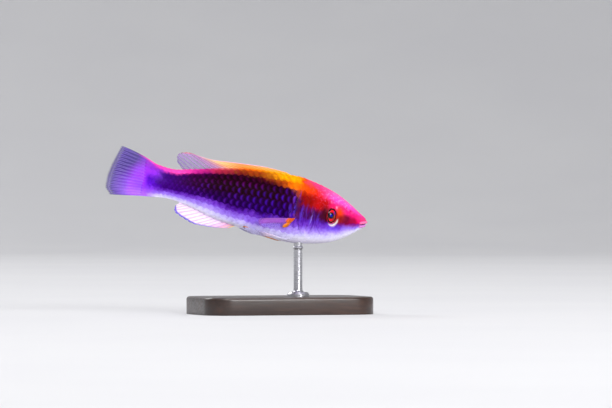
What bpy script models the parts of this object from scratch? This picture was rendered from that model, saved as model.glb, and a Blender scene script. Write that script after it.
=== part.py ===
# A life-size model of a male Lubbock's fairy wrasse, held over a flat base by one short rod.
# World units are metres with +Z up, and the origin is the middle of the base's underside.
# The fish is shaped in its own frame: the snout is at x = 0, the tail lies towards -X, the back
# is up and its left side is +Y. An empty then tilts it head down and sets it over the base.
# Sizes are in millimetres until the meshes are made.
import math

import bmesh
import bpy
from mathutils import Matrix, Vector

MM = 0.001
GAP = 0.3  # left between pieces that touch

# Body, as (distance behind the snout, back above the axis, belly below it, half width)
STATIONS = {
    "snout": (0.0, 1.0, 1.3, 1.1),
    "lips": (1.5, 1.7, 2.3, 1.5),
    "nostrils": (5.5, 4.1, 5.3, 2.55),
    "eyes": (10.5, 6.55, 7.75, 3.6),
    "cheeks": (16.5, 8.3, 9.2, 4.5),
    "gill_edge": (22.5, 9.25, 9.85, 4.95),
    "shoulder": (28.0, 9.2, 9.35, 5.0),
    "mid_body": (37.0, 8.6, 8.35, 4.5),
    "vent": (45.0, 7.35, 7.2, 3.6),
    "fin_ends": (54.0, 5.4, 4.95, 2.45),
    "stalk": (59.5, 4.4, 4.15, 1.75),
    "tail_base": (64.2, 4.9, 4.5, 1.1),
}
FULLNESS = 2.15  # of the cross-section: 2 is an ellipse, more is boxier
SNOUT_ROUND = 1.3  # length over which the snout closes
HEAD_DOWN_DEG = 10.5
SNOUT_PLACE = (26.0, 0.0, 26.0)

# Gill cover edge, as angle from the back in degrees: distance behind the snout
GILL_EDGE = {0: 18.5, 40: 20.8, 64: 22.6, 84: 23.3, 96: 23.0, 108: 21.9, 128: 20.4, 152: 17.4, 180: 14.0}
GILL_RIM = 0.28  # how far the cover's edge stands over the trunk
TRUNK_END = 57.0
STALK_END = STATIONS["tail_base"][0]

# Head details
EYE_AT = (11.8, -0.25)  # behind the snout, above the axis
EYE_RADIUS = 2.65
EYE_HALF_DEPTH = 1.5
EYE_SUNK = 0.9
NOSTRILS_AT = ((6.0, 2.2), (7.4, 2.8))
NOSTRIL_RADIUS = 0.27
GAPE_FRONT = -0.45  # height of the mouth line at the snout
GAPE_SLOPE = -0.32
GAPE_CORNER = 2.6
GAPE_OPEN = (0.42, 0.12)  # at the front and at the corner
LIP_RADIUS = 0.4
LIP_REACH = 2.9
LIP_LIFT = 0.5  # of each lip's middle above or below the mouth line

# Fins: half thicknesses of the membrane and of a ray's crest, at the root and at the margin
MEMBRANE = (0.34, 0.25)
RAY = (0.5, 0.27)
RAY_WIDTH = 0.24  # of a ray's half width, as a share of the space between rays
PAIRED_THIN = 0.8  # thickness of the paired fins against the others
PAIRED_ROUND = 0.12  # how much shorter their first and last rays are

# Dorsal fin, folded back: the base on the back, and each margin point as
# share along the base: (behind the snout, above the axis)
DORSAL_BASE = (24.0, 56.3)
DORSAL_MARGIN = {
    0.0: (26.5, 9.75),
    0.15: (32.5, 10.05),
    0.3: (38.2, 9.8),
    0.45: (43.6, 9.45),
    0.6: (48.8, 9.15),
    0.72: (52.8, 9.5),
    0.82: (55.6, 9.95),
    0.9: (57.8, 9.5),
    0.96: (58.9, 8.3),
    1.0: (58.6, 6.6),
}
DORSAL_RAYS = 20

ANAL_BASE = (38.0, 55.3)
ANAL_MARGIN = {
    0.0: (40.2, -9.1),
    0.25: (45.3, -9.7),
    0.5: (50.0, -9.8),
    0.75: (54.0, -8.7),
    0.92: (56.9, -6.9),
    1.0: (56.9, -5.7),
}
ANAL_RAYS = 12

# Tail fin: its corners as (behind the snout, above the axis), and its rear edge as an arc
TAIL_TOP = (76.0, 8.1)
TAIL_BOTTOM = (76.9, -6.1)
TAIL_REACH = 78.2
TAIL_REACH_AT = -3.5
TAIL_ROUND = 0.02
TAIL_RAYS = 15

# Breast fin of each side, folded along the flank, as (behind the snout, above the axis)
PECTORAL_BASE = ((22.9, -3.0), (24.6, -5.7))
PECTORAL_TIPS = ((34.3, -5.0), (32.4, -6.8))
PECTORAL_LIFT = 1.5  # of the tips off the flank
PECTORAL_RAYS = 7

# Belly fin of each side, folded back under the belly, as (behind the snout, off the midline)
PELVIC_BASE = ((22.5, 2.2), (24.0, 1.0))
PELVIC_TIPS = ((38.3, 2.8), (34.0, 1.5))
PELVIC_LIFT = 0.6
PELVIC_RAYS = 5

# Stand
BASE_SIZE = (50.0, 30.0, 5.0)
BASE_CORNER = 7.0
BASE_EDGE = 0.8
ROD_AT = 19.1  # where it meets the belly, behind the snout
ROD_RADIUS = 1.25
ROD_FOOT_RADIUS = 3.2
ROD_FOOT_HEIGHT = 1.2

COLOURS = {
    "head": (0.85, 0.12, 0.28),
    "trunk": (0.3, 0.1, 0.5),
    "stalk": (0.35, 0.08, 0.55),
    "tail_fin": (0.5, 0.2, 0.8),
    "dorsal_fin": (0.95, 0.5, 0.15),
    "anal_fin": (0.9, 0.78, 0.95),
    "breast_fins": (0.85, 0.4, 0.6),
    "belly_fins": (0.85, 0.75, 0.95),
    "eyes": (0.5, 0.03, 0.05),
    "base": (0.05, 0.035, 0.03),
    "rod": (0.6, 0.6, 0.62),
}
METAL = {"rod"}


def smooth_through(points):
    # A monotone cubic through (x, y) pairs, so that the line between two points never overshoots.
    xs = [p[0] for p in points]
    ys = [p[1] for p in points]
    spans = [b - a for a, b in zip(xs, xs[1:])]
    slopes = [(b - a) / d for a, b, d in zip(ys, ys[1:], spans)]
    tangents = [slopes[0]]
    for before, after in zip(slopes, slopes[1:]):
        same_way = before * after > 0
        tangents.append(2 * before * after / (before + after) if same_way else 0.0)
    tangents.append(slopes[-1])

    def value(x):
        x = min(max(x, xs[0]), xs[-1])
        i = max(k for k in range(len(spans)) if k == 0 or xs[k] <= x)
        u = (x - xs[i]) / spans[i]
        rise = ys[i] * (1 + 2 * u) * (1 - u) ** 2 + ys[i + 1] * u * u * (3 - 2 * u)
        lean = tangents[i] * u * (1 - u) ** 2 - tangents[i + 1] * u * u * (1 - u)
        return rise + lean * spans[i]

    return value


def station_line(column):
    return smooth_through([(row[0], row[column]) for row in STATIONS.values()])


def margin_line(points):
    along = smooth_through([(share, p[0]) for share, p in points.items()])
    up = smooth_through([(share, p[1]) for share, p in points.items()])
    return lambda share: (along(share), up(share))


back_of = station_line(1)
belly_of = station_line(2)
width_of = station_line(3)
gill_edge_at = smooth_through(list(GILL_EDGE.items()))


def snout_share(s):
    return math.sqrt(max(0.0, 1 - (1 - min(s / SNOUT_ROUND, 1)) ** 2))


def skin_point(s, angle, grow=0.0):
    # A point of the body's surface. The angle runs from the back down the left side and round.
    across, up = math.sin(angle), math.cos(angle)
    share = snout_share(s)
    reach = (back_of(s) if up > 0 else belly_of(s)) * share + grow
    y = (width_of(s) * share + grow) * math.copysign(abs(across) ** (2 / FULLNESS), across)
    return Vector((-s, y, reach * math.copysign(abs(up) ** (2 / FULLNESS), up)))


def flank_width(s, up):
    # Half width of the body at a height above its axis.
    reach = (back_of(s) if up > 0 else belly_of(s)) * snout_share(s)
    inside = max(0.0, 1 - min(1.0, abs(up) / reach) ** FULLNESS)
    return width_of(s) * snout_share(s) * inside ** (1 / FULLNESS)


def belly_drop(s, across):
    # Depth of the belly below the axis at a distance off the midline.
    inside = max(0.0, 1 - min(1.0, abs(across) / width_of(s)) ** FULLNESS)
    return belly_of(s) * inside ** (1 / FULLNESS)


def flank_frame(s, up, side):
    # The point of the flank there, and the direction straight out of the skin.
    def at(a, b):
        return Vector((-a, side * flank_width(a, b), b))

    step = 0.2
    along = at(s + step, up) - at(s - step, up)
    upward = at(s, up + step) - at(s, up - step)
    normal = along.cross(upward).normalized()
    return at(s, up), normal * math.copysign(1, normal.y * side)


def side_angle(angle):
    # The angle folded to one side, in degrees from the back.
    turned = math.degrees(angle) % 360
    return min(turned, 360 - turned)


def smooth_step(x, start, end):
    u = min(max((x - start) / (end - start), 0), 1)
    return u * u * (3 - 2 * u)


def material(part):
    found = bpy.data.materials.get(part)
    if found:
        return found
    made = bpy.data.materials.new(part)
    made.use_nodes = True
    shader = made.node_tree.nodes["Principled BSDF"]
    shader.inputs["Base Color"].default_value = (*COLOURS[part], 1)
    shader.inputs["Roughness"].default_value = 0.35
    shader.inputs["Metallic"].default_value = 1.0 if part in METAL else 0.0
    return made


def new_object(name, bm, part=None):
    mesh = bpy.data.meshes.new(name)
    bmesh.ops.recalc_face_normals(bm, faces=bm.faces[:])
    bm.to_mesh(mesh)
    bm.free()
    mesh.shade_smooth()
    mesh.set_sharp_from_angle(angle=math.radians(50))
    thing = bpy.data.objects.new(name, mesh)
    bpy.context.scene.collection.objects.link(thing)
    if part:
        mesh.materials.append(material(part))
    return thing


def loft(rings, front, back):
    # Skins a run of equal rings of points and closes it with a fan at each end.
    bm = bmesh.new()
    loops = [[bm.verts.new(p * MM) for p in ring] for ring in rings]
    for near, far in zip(loops, loops[1:]):
        for i in range(len(near)):
            j = (i + 1) % len(near)
            bm.faces.new((near[i], near[j], far[j], far[i]))
    for loop, centre in ((loops[0], front), (loops[-1], back)):
        middle = bm.verts.new(centre * MM)
        for i in range(len(loop)):
            bm.faces.new((loop[i], loop[(i + 1) % len(loop)], middle))
    return bm


def ring_angles(count):
    return [2 * math.pi * (i + 0.5) / count for i in range(count)]


def apply_modifiers(thing):
    bpy.context.view_layer.update()
    depsgraph = bpy.context.evaluated_depsgraph_get()
    finished = bpy.data.meshes.new_from_object(thing.evaluated_get(depsgraph))
    thing.modifiers.clear()
    thing.data = finished


def combine(target, others, operation):
    # Joins the other closed shapes to the target, or cuts them out of it, and removes them.
    group = bpy.data.collections.new("pieces")
    bpy.context.scene.collection.children.link(group)
    for other in others:
        group.objects.link(other)
    step = target.modifiers.new(operation.lower(), "BOOLEAN")
    step.operation = operation
    step.operand_type = "COLLECTION"
    step.collection = group
    apply_modifiers(target)
    for other in others:
        bpy.data.objects.remove(other)
    bpy.data.collections.remove(group)


def keep_largest(thing):
    # Drops every closed surface but the one with the most faces.
    bm = bmesh.new()
    bm.from_mesh(thing.data)
    left, shells = set(bm.verts), []
    while left:
        shell, edge = set(), [left.pop()]
        while edge:
            vert = edge.pop()
            shell.add(vert)
            near = {e.other_vert(vert) for e in vert.link_edges} & left
            left -= near
            edge.extend(near)
        shells.append(shell)
    shells.sort(key=len)
    for shell in shells[:-1]:
        bmesh.ops.delete(bm, geom=list(shell), context="VERTS")
    bm.to_mesh(thing.data)
    bm.free()


def lip_path(lift):
    # Follows the snout's surface round the front, from one corner of the mouth to the other.
    path = []
    steps = 6
    for k in range(-steps, steps + 1):
        turn = k / steps
        s = 0.28 + (LIP_REACH - 0.28) * (1 - math.cos(turn * math.pi / 2))
        ease = 1 - 0.75 * turn**4
        up = GAPE_FRONT + GAPE_SLOPE * s + lift * ease
        y = math.copysign(flank_width(s, up), turn) if k else 0.0
        path.append((Vector((-s, 0.93 * y, up)), ease))
    return path


def lip(name, lift):
    curve = bpy.data.curves.new(name, "CURVE")
    curve.dimensions = "3D"
    curve.bevel_depth = LIP_RADIUS * MM
    curve.bevel_resolution = 2
    curve.use_fill_caps = True
    spline = curve.splines.new("POLY")
    path = lip_path(lift)
    spline.points.add(len(path) - 1)
    for point, (place, thick) in zip(spline.points, path):
        point.co = (*(place * MM), 1)
        point.radius = thick
    tube = bpy.data.objects.new(name, curve)
    bpy.context.scene.collection.objects.link(tube)
    bpy.context.view_layer.update()
    mesh = bpy.data.meshes.new_from_object(tube.evaluated_get(bpy.context.evaluated_depsgraph_get()))
    bpy.data.objects.remove(tube)
    bm = bmesh.new()
    bm.from_mesh(mesh)
    bmesh.ops.remove_doubles(bm, verts=bm.verts[:], dist=0.001 * MM)
    return new_object(name, bm)


def gape_cutter():
    # A thin wedge along the mouth line, open at the front and closing at the corner.
    bm = bmesh.new()
    front, corner = -1.5, GAPE_CORNER
    loops = []
    for s, thick in ((front, GAPE_OPEN[0]), (corner, GAPE_OPEN[1])):
        middle = GAPE_FRONT + GAPE_SLOPE * s
        corners = ((-4, -1), (4, -1), (4, 1), (-4, 1))
        loops.append([bm.verts.new(Vector((-s, y, middle + up * thick / 2)) * MM) for y, up in corners])
    for i in range(4):
        j = (i + 1) % 4
        bm.faces.new((loops[0][i], loops[0][j], loops[1][j], loops[1][i]))
    bm.faces.new(loops[0])
    bm.faces.new(loops[1])
    return new_object("gape", bm)


def lens(name, centre, normal, radius, half_depth, segments, rings, part=None):
    # A flattened ball whose short axis points out of the skin.
    bm = bmesh.new()
    bmesh.ops.create_uvsphere(bm, u_segments=segments, v_segments=rings, radius=1)
    squash = Matrix.Diagonal((radius * MM, radius * MM, half_depth * MM, 1))
    turn = normal.to_track_quat("Z", "Y").to_matrix().to_4x4()
    bmesh.ops.transform(bm, verts=bm.verts[:], matrix=Matrix.Translation(centre * MM) @ turn @ squash)
    return new_object(name, bm, part)


def eye_centre(side):
    place, normal = flank_frame(*EYE_AT, side)
    return place - normal * EYE_SUNK, normal


def head_ring(share, count):
    # One ring of the head, warped so that the last one follows the edge of the gill cover.
    ring = []
    for angle in ring_angles(count):
        folded = side_angle(angle)
        flap = smooth_step(folded, 20, 50) * (1 - smooth_step(folded, 165, 178))
        rim = GILL_RIM * smooth_step(share, 0.9, 0.97) * flap
        ring.append(skin_point(gill_edge_at(folded) * share, angle, rim))
    return ring


def make_head():
    count, rings = 44, 26
    shares = [0.006] + [(k / rings) ** 1.25 for k in range(1, rings + 1)]
    middle = sum(GILL_EDGE.values()) / len(GILL_EDGE)
    body = loft([head_ring(share, count) for share in shares], Vector((0, 0, 0)), Vector((-middle, 0, 0)))
    head = new_object("head", body, "head")
    combine(head, [lip("upper_lip", LIP_LIFT), lip("lower_lip", -LIP_LIFT)], "UNION")
    cutters = [gape_cutter()]
    for side in (-1, 1):
        centre, normal = eye_centre(side)
        cutters.append(lens("socket", centre, normal, EYE_RADIUS + GAP, EYE_HALF_DEPTH + GAP, 28, 14))
        for s, up in NOSTRILS_AT:
            place, outward = flank_frame(s, up, side)
            cutters.append(lens("nostril", place, outward, NOSTRIL_RADIUS, NOSTRIL_RADIUS * 1.4, 8, 6))
    combine(head, cutters, "DIFFERENCE")
    keep_largest(head)
    return head


def trunk_rings(count, rings, grow=0.0):
    lead = 0.35  # along the body, so that the slanting gap to the head stays near GAP
    made = []
    for k in range(rings + 1):
        share = k / rings
        ring = []
        for angle in ring_angles(count):
            start = gill_edge_at(side_angle(angle)) + lead
            ring.append(skin_point(start + (TRUNK_END - start) * share, angle, grow))
        made.append(ring)
    middle = sum(GILL_EDGE.values()) / len(GILL_EDGE) + lead
    return made, Vector((-middle, 0, 0)), Vector((-TRUNK_END, 0, 0))


def make_trunk():
    return new_object("trunk", loft(*trunk_rings(40, 24)), "trunk")


def make_stalk():
    start, end, rings = TRUNK_END + GAP, STALK_END, 7
    places = [start + (end - start) * k / rings for k in range(rings + 1)]
    made = [[skin_point(s, angle) for angle in ring_angles(36)] for s in places]
    return new_object("tail_stalk", loft(made, Vector((-start, 0, 0)), Vector((-end, 0, 0))), "stalk")


def ray_columns(rays):
    # Shares across a fin, each with how far it is up a ray's ridge.
    columns = [(0.0, 0)]
    for k in range(rays):
        crest = (k + 0.5) / rays
        columns += [(crest - RAY_WIDTH / rays, 0), (crest, 1), (crest + RAY_WIDTH / rays, 0)]
    return columns + [(1.0, 0)]


def fin_plate(name, part, rays, rows, place, outward, thicken=1.0):
    # A thin plate between a base and a margin. Both faces are split into the same triangles.
    bm = bmesh.new()
    columns = ray_columns(rays)
    faces = []
    for way in (1, -1):
        grid = []
        for share, ridge in columns:
            line = []
            for k in range(rows + 1):
                reach = k / rows
                flat = MEMBRANE[0] + (MEMBRANE[1] - MEMBRANE[0]) * reach
                crest = RAY[0] + (RAY[1] - RAY[0]) * reach
                half = (flat + (crest - flat) * ridge) * thicken
                line.append(bm.verts.new((place(share, reach) + outward(share, reach) * half * way) * MM))
            grid.append(line)
        faces.append(grid)
    front, back = faces
    last = len(columns) - 1
    for i in range(last):
        for k in range(rows):
            for grid in faces:
                bm.faces.new((grid[i][k], grid[i + 1][k], grid[i + 1][k + 1]))
                bm.faces.new((grid[i][k], grid[i + 1][k + 1], grid[i][k + 1]))
        for k in (0, rows):
            bm.faces.new((front[i][k], front[i + 1][k], back[i + 1][k], back[i][k]))
    for k in range(rows):
        for i in (0, last):
            bm.faces.new((front[i][k], front[i][k + 1], back[i][k + 1], back[i][k]))
    return new_object(name, bm, part)


def sideways(share, reach):
    return Vector((0, 1, 0))


def upright_fin(name, part, rays, rows, base, root_height, margin):
    # A fin on the midline, between its base on the body and its margin.
    edge = margin_line(margin)

    def place(share, reach):
        s = base[0] + (base[1] - base[0]) * share
        tip_s, tip_up = edge(share)
        return Vector((-(s + (tip_s - s) * reach), 0, root_height(s) * (1 - reach) + tip_up * reach))

    return fin_plate(name, part, rays, rows, place, sideways)


def make_dorsal():
    return upright_fin(
        "dorsal_fin", "dorsal_fin", DORSAL_RAYS, 5, DORSAL_BASE, lambda s: back_of(s) + GAP, DORSAL_MARGIN
    )


def make_anal():
    return upright_fin(
        "anal_fin", "anal_fin", ANAL_RAYS, 5, ANAL_BASE, lambda s: -belly_of(s) - GAP, ANAL_MARGIN
    )


def make_tail_fin():
    root = STALK_END + GAP

    def place(share, reach):
        base_up = back_of(STALK_END) * (1 - share) - belly_of(STALK_END) * share
        tip_up = TAIL_TOP[1] + (TAIL_BOTTOM[1] - TAIL_TOP[1]) * share
        rear = TAIL_REACH - TAIL_ROUND * (tip_up - TAIL_REACH_AT) ** 2
        rear -= (TAIL_REACH - TAIL_BOTTOM[0]) * smooth_step(share, 0.86, 1.0)
        bow = 4 * reach * (1 - reach) * max(0.0, 0.5 - share) * 0.9
        return Vector((-(root + (rear - root) * reach), 0, base_up * (1 - reach) + tip_up * reach + bow))

    return fin_plate("tail_fin", "tail_fin", TAIL_RAYS, 7, place, sideways)


def fan(base, tips, share, reach):
    # A place on a fan whose rays run from one line to another, with its corners rounded.
    reach *= 1 - PAIRED_ROUND * abs(2 * share - 1) ** 3
    start = [a + (b - a) * share for a, b in zip(*base)]
    end = [a + (b - a) * share for a, b in zip(*tips)]
    return [a + (b - a) * reach for a, b in zip(start, end)]


def make_pectoral(side, name):
    def place(share, reach):
        s, up = fan(PECTORAL_BASE, PECTORAL_TIPS, share, reach)
        point, normal = flank_frame(s, up, side)
        return point + normal * (GAP + RAY[0] * PAIRED_THIN + PECTORAL_LIFT * reach**1.5)

    def outward(share, reach):
        s, up = fan(PECTORAL_BASE, PECTORAL_TIPS, share, reach)
        return flank_frame(s, up, side)[1]

    return fin_plate(name, "breast_fins", PECTORAL_RAYS, 6, place, outward, PAIRED_THIN)


def make_pelvic(side, name):
    def place(share, reach):
        s, across = fan(PELVIC_BASE, PELVIC_TIPS, share, reach)
        drop = belly_drop(s, across) + GAP + RAY[0] * PAIRED_THIN + PELVIC_LIFT * reach**2
        return Vector((-s, side * across, -drop))

    def outward(share, reach):
        return Vector((0, 0, -1))

    return fin_plate(name, "belly_fins", PELVIC_RAYS, 6, place, outward, PAIRED_THIN)


def make_eye(side, name):
    centre, normal = eye_centre(side)
    return lens(name, centre, normal, EYE_RADIUS, EYE_HALF_DEPTH, 24, 12, "eyes")


def make_base():
    bm = bmesh.new()
    bmesh.ops.create_cube(bm, size=1)
    bmesh.ops.scale(bm, verts=bm.verts[:], vec=Vector(BASE_SIZE) * MM)
    bmesh.ops.translate(bm, verts=bm.verts[:], vec=(0, 0, BASE_SIZE[2] / 2 * MM))
    upright = [e for e in bm.edges if abs(e.verts[0].co.z - e.verts[1].co.z) > MM]
    bmesh.ops.bevel(
        bm, geom=upright, offset=BASE_CORNER * MM, segments=6, profile=0.5, affect="EDGES", material=-1
    )
    top = max(v.co.z for v in bm.verts)
    rim = [e for e in bm.edges if all(v.co.z > top - 1e-6 for v in e.verts)]
    bmesh.ops.bevel(
        bm, geom=rim, offset=BASE_EDGE * MM, segments=2, profile=0.5, affect="EDGES", material=-1
    )
    return new_object("stand_base", bm, "base")


def make_rod(pose):
    # A turned rod with a foot on the base. Its top is cut to the belly, a gap below the skin.
    bottom = BASE_SIZE[2] + GAP
    shoulder = bottom + ROD_FOOT_HEIGHT
    place = pose.matrix_world @ (Vector((-ROD_AT, 0, -belly_of(ROD_AT))) * MM)
    top = place.z / MM + 3
    foot, rod, chamfer = ROD_FOOT_RADIUS, ROD_RADIUS, 0.3
    profile = [
        (foot, bottom), (foot, shoulder - chamfer), (foot - chamfer, shoulder), (rod, shoulder), (rod, top)
    ]
    count = 24
    rings = []
    for radius, z in profile:
        angles = ring_angles(count)
        rings.append([Vector((radius * math.cos(a), radius * math.sin(a), z)) for a in angles])
    bm = loft(rings, Vector((0, 0, bottom)), Vector((0, 0, top)))
    bmesh.ops.translate(bm, verts=bm.verts[:], vec=(place.x, 0, 0))
    made = new_object("stand_rod", bm, "rod")
    grown = new_object("belly_cutter", loft(*trunk_rings(40, 24, grow=GAP)))
    grown.parent = pose
    bpy.context.view_layer.update()
    combine(made, [grown], "DIFFERENCE")
    keep_largest(made)
    return made


def main():
    for thing in list(bpy.data.objects):
        bpy.data.objects.remove(thing)
    pose = bpy.data.objects.new("fish_pose", None)
    bpy.context.scene.collection.objects.link(pose)
    pose.location = Vector(SNOUT_PLACE) * MM
    pose.rotation_euler = (0, math.radians(HEAD_DOWN_DEG), 0)
    bpy.context.view_layer.update()
    fish = [make_head(), make_trunk(), make_stalk(), make_dorsal(), make_anal(), make_tail_fin()]
    for side, name in ((1, "left"), (-1, "right")):
        fish.append(make_eye(side, f"eye_{name}"))
        fish.append(make_pectoral(side, f"pectoral_fin_{name}"))
        fish.append(make_pelvic(side, f"pelvic_fin_{name}"))
    for piece in fish:
        piece.parent = pose
    make_base()
    make_rod(pose)


main()
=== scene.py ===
import math
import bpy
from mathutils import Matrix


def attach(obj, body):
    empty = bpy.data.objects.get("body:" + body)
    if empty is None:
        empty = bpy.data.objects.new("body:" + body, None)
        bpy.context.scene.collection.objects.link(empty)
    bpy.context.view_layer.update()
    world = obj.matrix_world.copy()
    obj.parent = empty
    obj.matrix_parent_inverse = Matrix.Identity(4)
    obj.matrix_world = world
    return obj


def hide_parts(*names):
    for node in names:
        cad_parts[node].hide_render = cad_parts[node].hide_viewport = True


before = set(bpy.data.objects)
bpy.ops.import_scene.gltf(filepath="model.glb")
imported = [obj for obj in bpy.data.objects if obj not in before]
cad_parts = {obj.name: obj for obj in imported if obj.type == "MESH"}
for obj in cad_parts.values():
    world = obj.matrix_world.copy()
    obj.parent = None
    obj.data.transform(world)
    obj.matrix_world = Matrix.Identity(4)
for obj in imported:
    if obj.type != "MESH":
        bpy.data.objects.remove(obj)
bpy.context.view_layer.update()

from types import SimpleNamespace

import bmesh
import bpy
import numpy as np
from mathutils import Vector

mm = 0.001
print("frame loaded:", len(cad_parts), "solids")


# The fish in its own frame, in millimetres: s runs back from the snout, the back is up, the left side is +Y

fishForm = {
    "stations": [  # behind the snout, back above the axis, belly below it, half width
        (0.0, 1.0, 1.3, 1.1), (1.5, 1.7, 2.3, 1.5), (5.5, 4.1, 5.3, 2.55), (10.5, 6.55, 7.75, 3.6),
        (16.5, 8.3, 9.2, 4.5), (22.5, 9.25, 9.85, 4.95), (28.0, 9.2, 9.35, 5.0), (37.0, 8.6, 8.35, 4.5),
        (45.0, 7.35, 7.2, 3.6), (54.0, 5.4, 4.95, 2.45), (59.5, 4.4, 4.15, 1.75), (64.2, 4.9, 4.5, 1.1),
        (66.0, 5.4, 4.65, 0.45), (67.6, 5.95, 4.8, 0.16),
    ],
    "gillEdge": [  # degrees from the back, behind the snout
        (0, 18.5), (40, 20.8), (64, 22.6), (84, 23.3), (96, 23.0), (108, 21.9), (128, 20.4), (152, 17.4),
        (180, 14.0),
    ],
    "gillRim": 0.28,
    "fullness": 2.15,  # of the cross-section: 2 is an ellipse
    "snoutRound": 1.3,
    "headDown": math.radians(10.5),
    "snoutPlace": (26.0, 0.0, 26.0),
    "coat": 0.09,  # how deep the skin lies under the scales
}
fishEnd = fishForm["stations"][-1][0]
mapLength = 70.0  # millimetres across the formMap
mapTurn = 180.0  # degrees along it, from the back to the belly


def easeStep(x, low, high):
    u = np.clip((x - low) / (high - low), 0, 1)
    return u * u * (3 - 2 * u)


def hill(x, width):
    return np.exp(-(x / width) ** 2)


def smoothLine(points):
    # a monotone cubic, so the line never overshoots between two points
    xs, ys = (np.array(column, float) for column in zip(*points))
    spans = np.diff(xs)
    slopes = np.diff(ys) / spans
    both = slopes[1:] * slopes[:-1]
    total = slopes[1:] + slopes[:-1]
    middle = np.where(both > 0, 2 * both / np.where(total == 0, 1, total), 0)
    tangents = np.concatenate([slopes[:1], middle, slopes[-1:]])

    def value(x):
        x = np.clip(x, xs[0], xs[-1])
        i = np.clip(np.searchsorted(xs, x, side="right") - 1, 0, len(spans) - 1)
        u = (x - xs[i]) / spans[i]
        rise = ys[i] * (1 + 2 * u) * (1 - u) ** 2 + ys[i + 1] * u * u * (3 - 2 * u)
        lean = tangents[i] * u * (1 - u) ** 2 - tangents[i + 1] * u * u * (1 - u)
        return rise + lean * spans[i]

    return value


def stationLine(column):
    return smoothLine([(row[0], row[column]) for row in fishForm["stations"]])


backOf, bellyOf, widthOf = stationLine(1), stationLine(2), stationLine(3)
gillEdgeAt = smoothLine(fishForm["gillEdge"])


def snoutShare(s):
    return np.sqrt(np.clip(1 - (1 - np.minimum(s / fishForm["snoutRound"], 1)) ** 2, 0, None))


def skinPoints(s, angle, grow=0.0):
    # points of the body's surface; the angle runs from the back down the left side and round
    across, up = np.sin(angle), np.cos(angle)
    share, power = snoutShare(s), 2 / fishForm["fullness"]
    reach = np.where(up > 0, backOf(s), bellyOf(s)) * share + grow
    y = (widthOf(s) * share + grow) * np.sign(across) * np.abs(across) ** power
    return np.stack([-s + 0 * y, y, reach * np.sign(up) * np.abs(up) ** power], axis=-1)


def flankPoints(s, up, side):
    reach = np.where(up > 0, backOf(s), bellyOf(s)) * snoutShare(s)
    inside = np.clip(1 - np.minimum(1, np.abs(up) / reach) ** fishForm["fullness"], 0, None)
    width = widthOf(s) * snoutShare(s) * inside ** (1 / fishForm["fullness"])
    return np.stack([-s, side * width, up + 0 * width], axis=-1)


def flankFrame(s, up, side):
    # the flank's point there, and the direction straight out of the skin
    s, up = np.asarray(s, float), np.asarray(up, float)
    step = 0.2
    along = flankPoints(s + step, up, side) - flankPoints(s - step, up, side)
    upward = flankPoints(s, up + step, side) - flankPoints(s, up - step, side)
    normal = np.cross(along, upward)
    normal /= np.linalg.norm(normal, axis=-1, keepdims=True)
    return flankPoints(s, up, side), normal * np.sign(normal[..., 1:2] * side)


def bellyDrop(s, across):
    inside = np.clip(1 - np.minimum(1, np.abs(across) / widthOf(s)) ** fishForm["fullness"], 0, None)
    return bellyOf(s) * inside ** (1 / fishForm["fullness"])


def flapShare(degrees):
    # how far the gill cover's edge stands free, round the head from the back
    return easeStep(degrees, 20, 50) * (1 - easeStep(degrees, 120, 160))


def toWorld(points):
    turn, place = fishForm["headDown"], fishForm["snoutPlace"]
    x, y, z = points[..., 0], points[..., 1], points[..., 2]
    worldX = place[0] + x * math.cos(turn) + z * math.sin(turn)
    worldZ = place[2] - x * math.sin(turn) + z * math.cos(turn)
    return np.stack([worldX, place[1] + y, worldZ], axis=-1) * mm


# Mesh helpers

def readVertices(mesh):
    spots = np.empty(len(mesh.vertices) * 3, np.float32)
    mesh.vertices.foreach_get("co", spots)
    return spots.reshape(-1, 3).astype(float)


def gridMesh(across, along, thick=False):
    # a flat sheet from an operator, or a slab, and where each vertex is on it, from 0 to 1
    bm = bmesh.new()
    bmesh.ops.create_grid(bm, x_segments=across, y_segments=along, size=0.5)
    if thick:
        lifted = bmesh.ops.extrude_face_region(bm, geom=bm.faces[:])
        verts = [v for v in lifted["geom"] if isinstance(v, bmesh.types.BMVert)]
        bmesh.ops.translate(bm, verts=verts, vec=(0, 0, 1))
        bmesh.ops.recalc_face_normals(bm, faces=bm.faces[:])
    mesh = bpy.data.meshes.new("sheet")
    bm.to_mesh(mesh)
    bm.free()
    spots = readVertices(mesh)
    return mesh, spots[:, 0] + 0.5, spots[:, 1] + 0.5, spots[:, 2]


def finishMesh(name, bm):
    bmesh.ops.recalc_face_normals(bm, faces=bm.faces[:])
    mesh = bpy.data.meshes.new(name)
    bm.to_mesh(mesh)
    bm.free()
    return mesh


def turnedMesh(name, profile, steps, middle=0.0):
    # a form turned about an upright line, from its radii and heights
    bm = bmesh.new()
    line = [bm.verts.new((middle + r, 0, z)) for r, z in profile]
    edges = [bm.edges.new(pair) for pair in zip(line, line[1:])]
    bmesh.ops.spin(
        bm, geom=line + edges, cent=(middle, 0, 0), axis=(0, 0, 1), angle=2 * math.pi, steps=steps,
        use_merge=True,
    )
    bmesh.ops.remove_doubles(bm, verts=bm.verts[:], dist=0.001 * mm)
    return finishMesh(name, bm)


def faceOut(mesh, join=False):
    # turns the faces outwards, with doubled vertices joined first where a sheet was closed
    bm = bmesh.new()
    bm.from_mesh(mesh)
    if join:
        bmesh.ops.remove_doubles(bm, verts=bm.verts[:], dist=0.0001 * mm)
    bmesh.ops.recalc_face_normals(bm, faces=bm.faces[:])
    bm.to_mesh(mesh)
    bm.free()


def placeVertices(mesh, points):
    mesh.vertices.foreach_set("co", points.astype(np.float32).ravel())
    mesh.update()


def addMap(mesh, name, across, along):
    spots = np.stack(np.broadcast_arrays(across, along), axis=-1).reshape(-1, 2)
    corners = np.empty(len(mesh.loops), np.int32)
    mesh.loops.foreach_get("vertex_index", corners)
    mesh.uv_layers.new(name=name).uv.foreach_set("vector", spots[corners].astype(np.float32).ravel())


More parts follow.
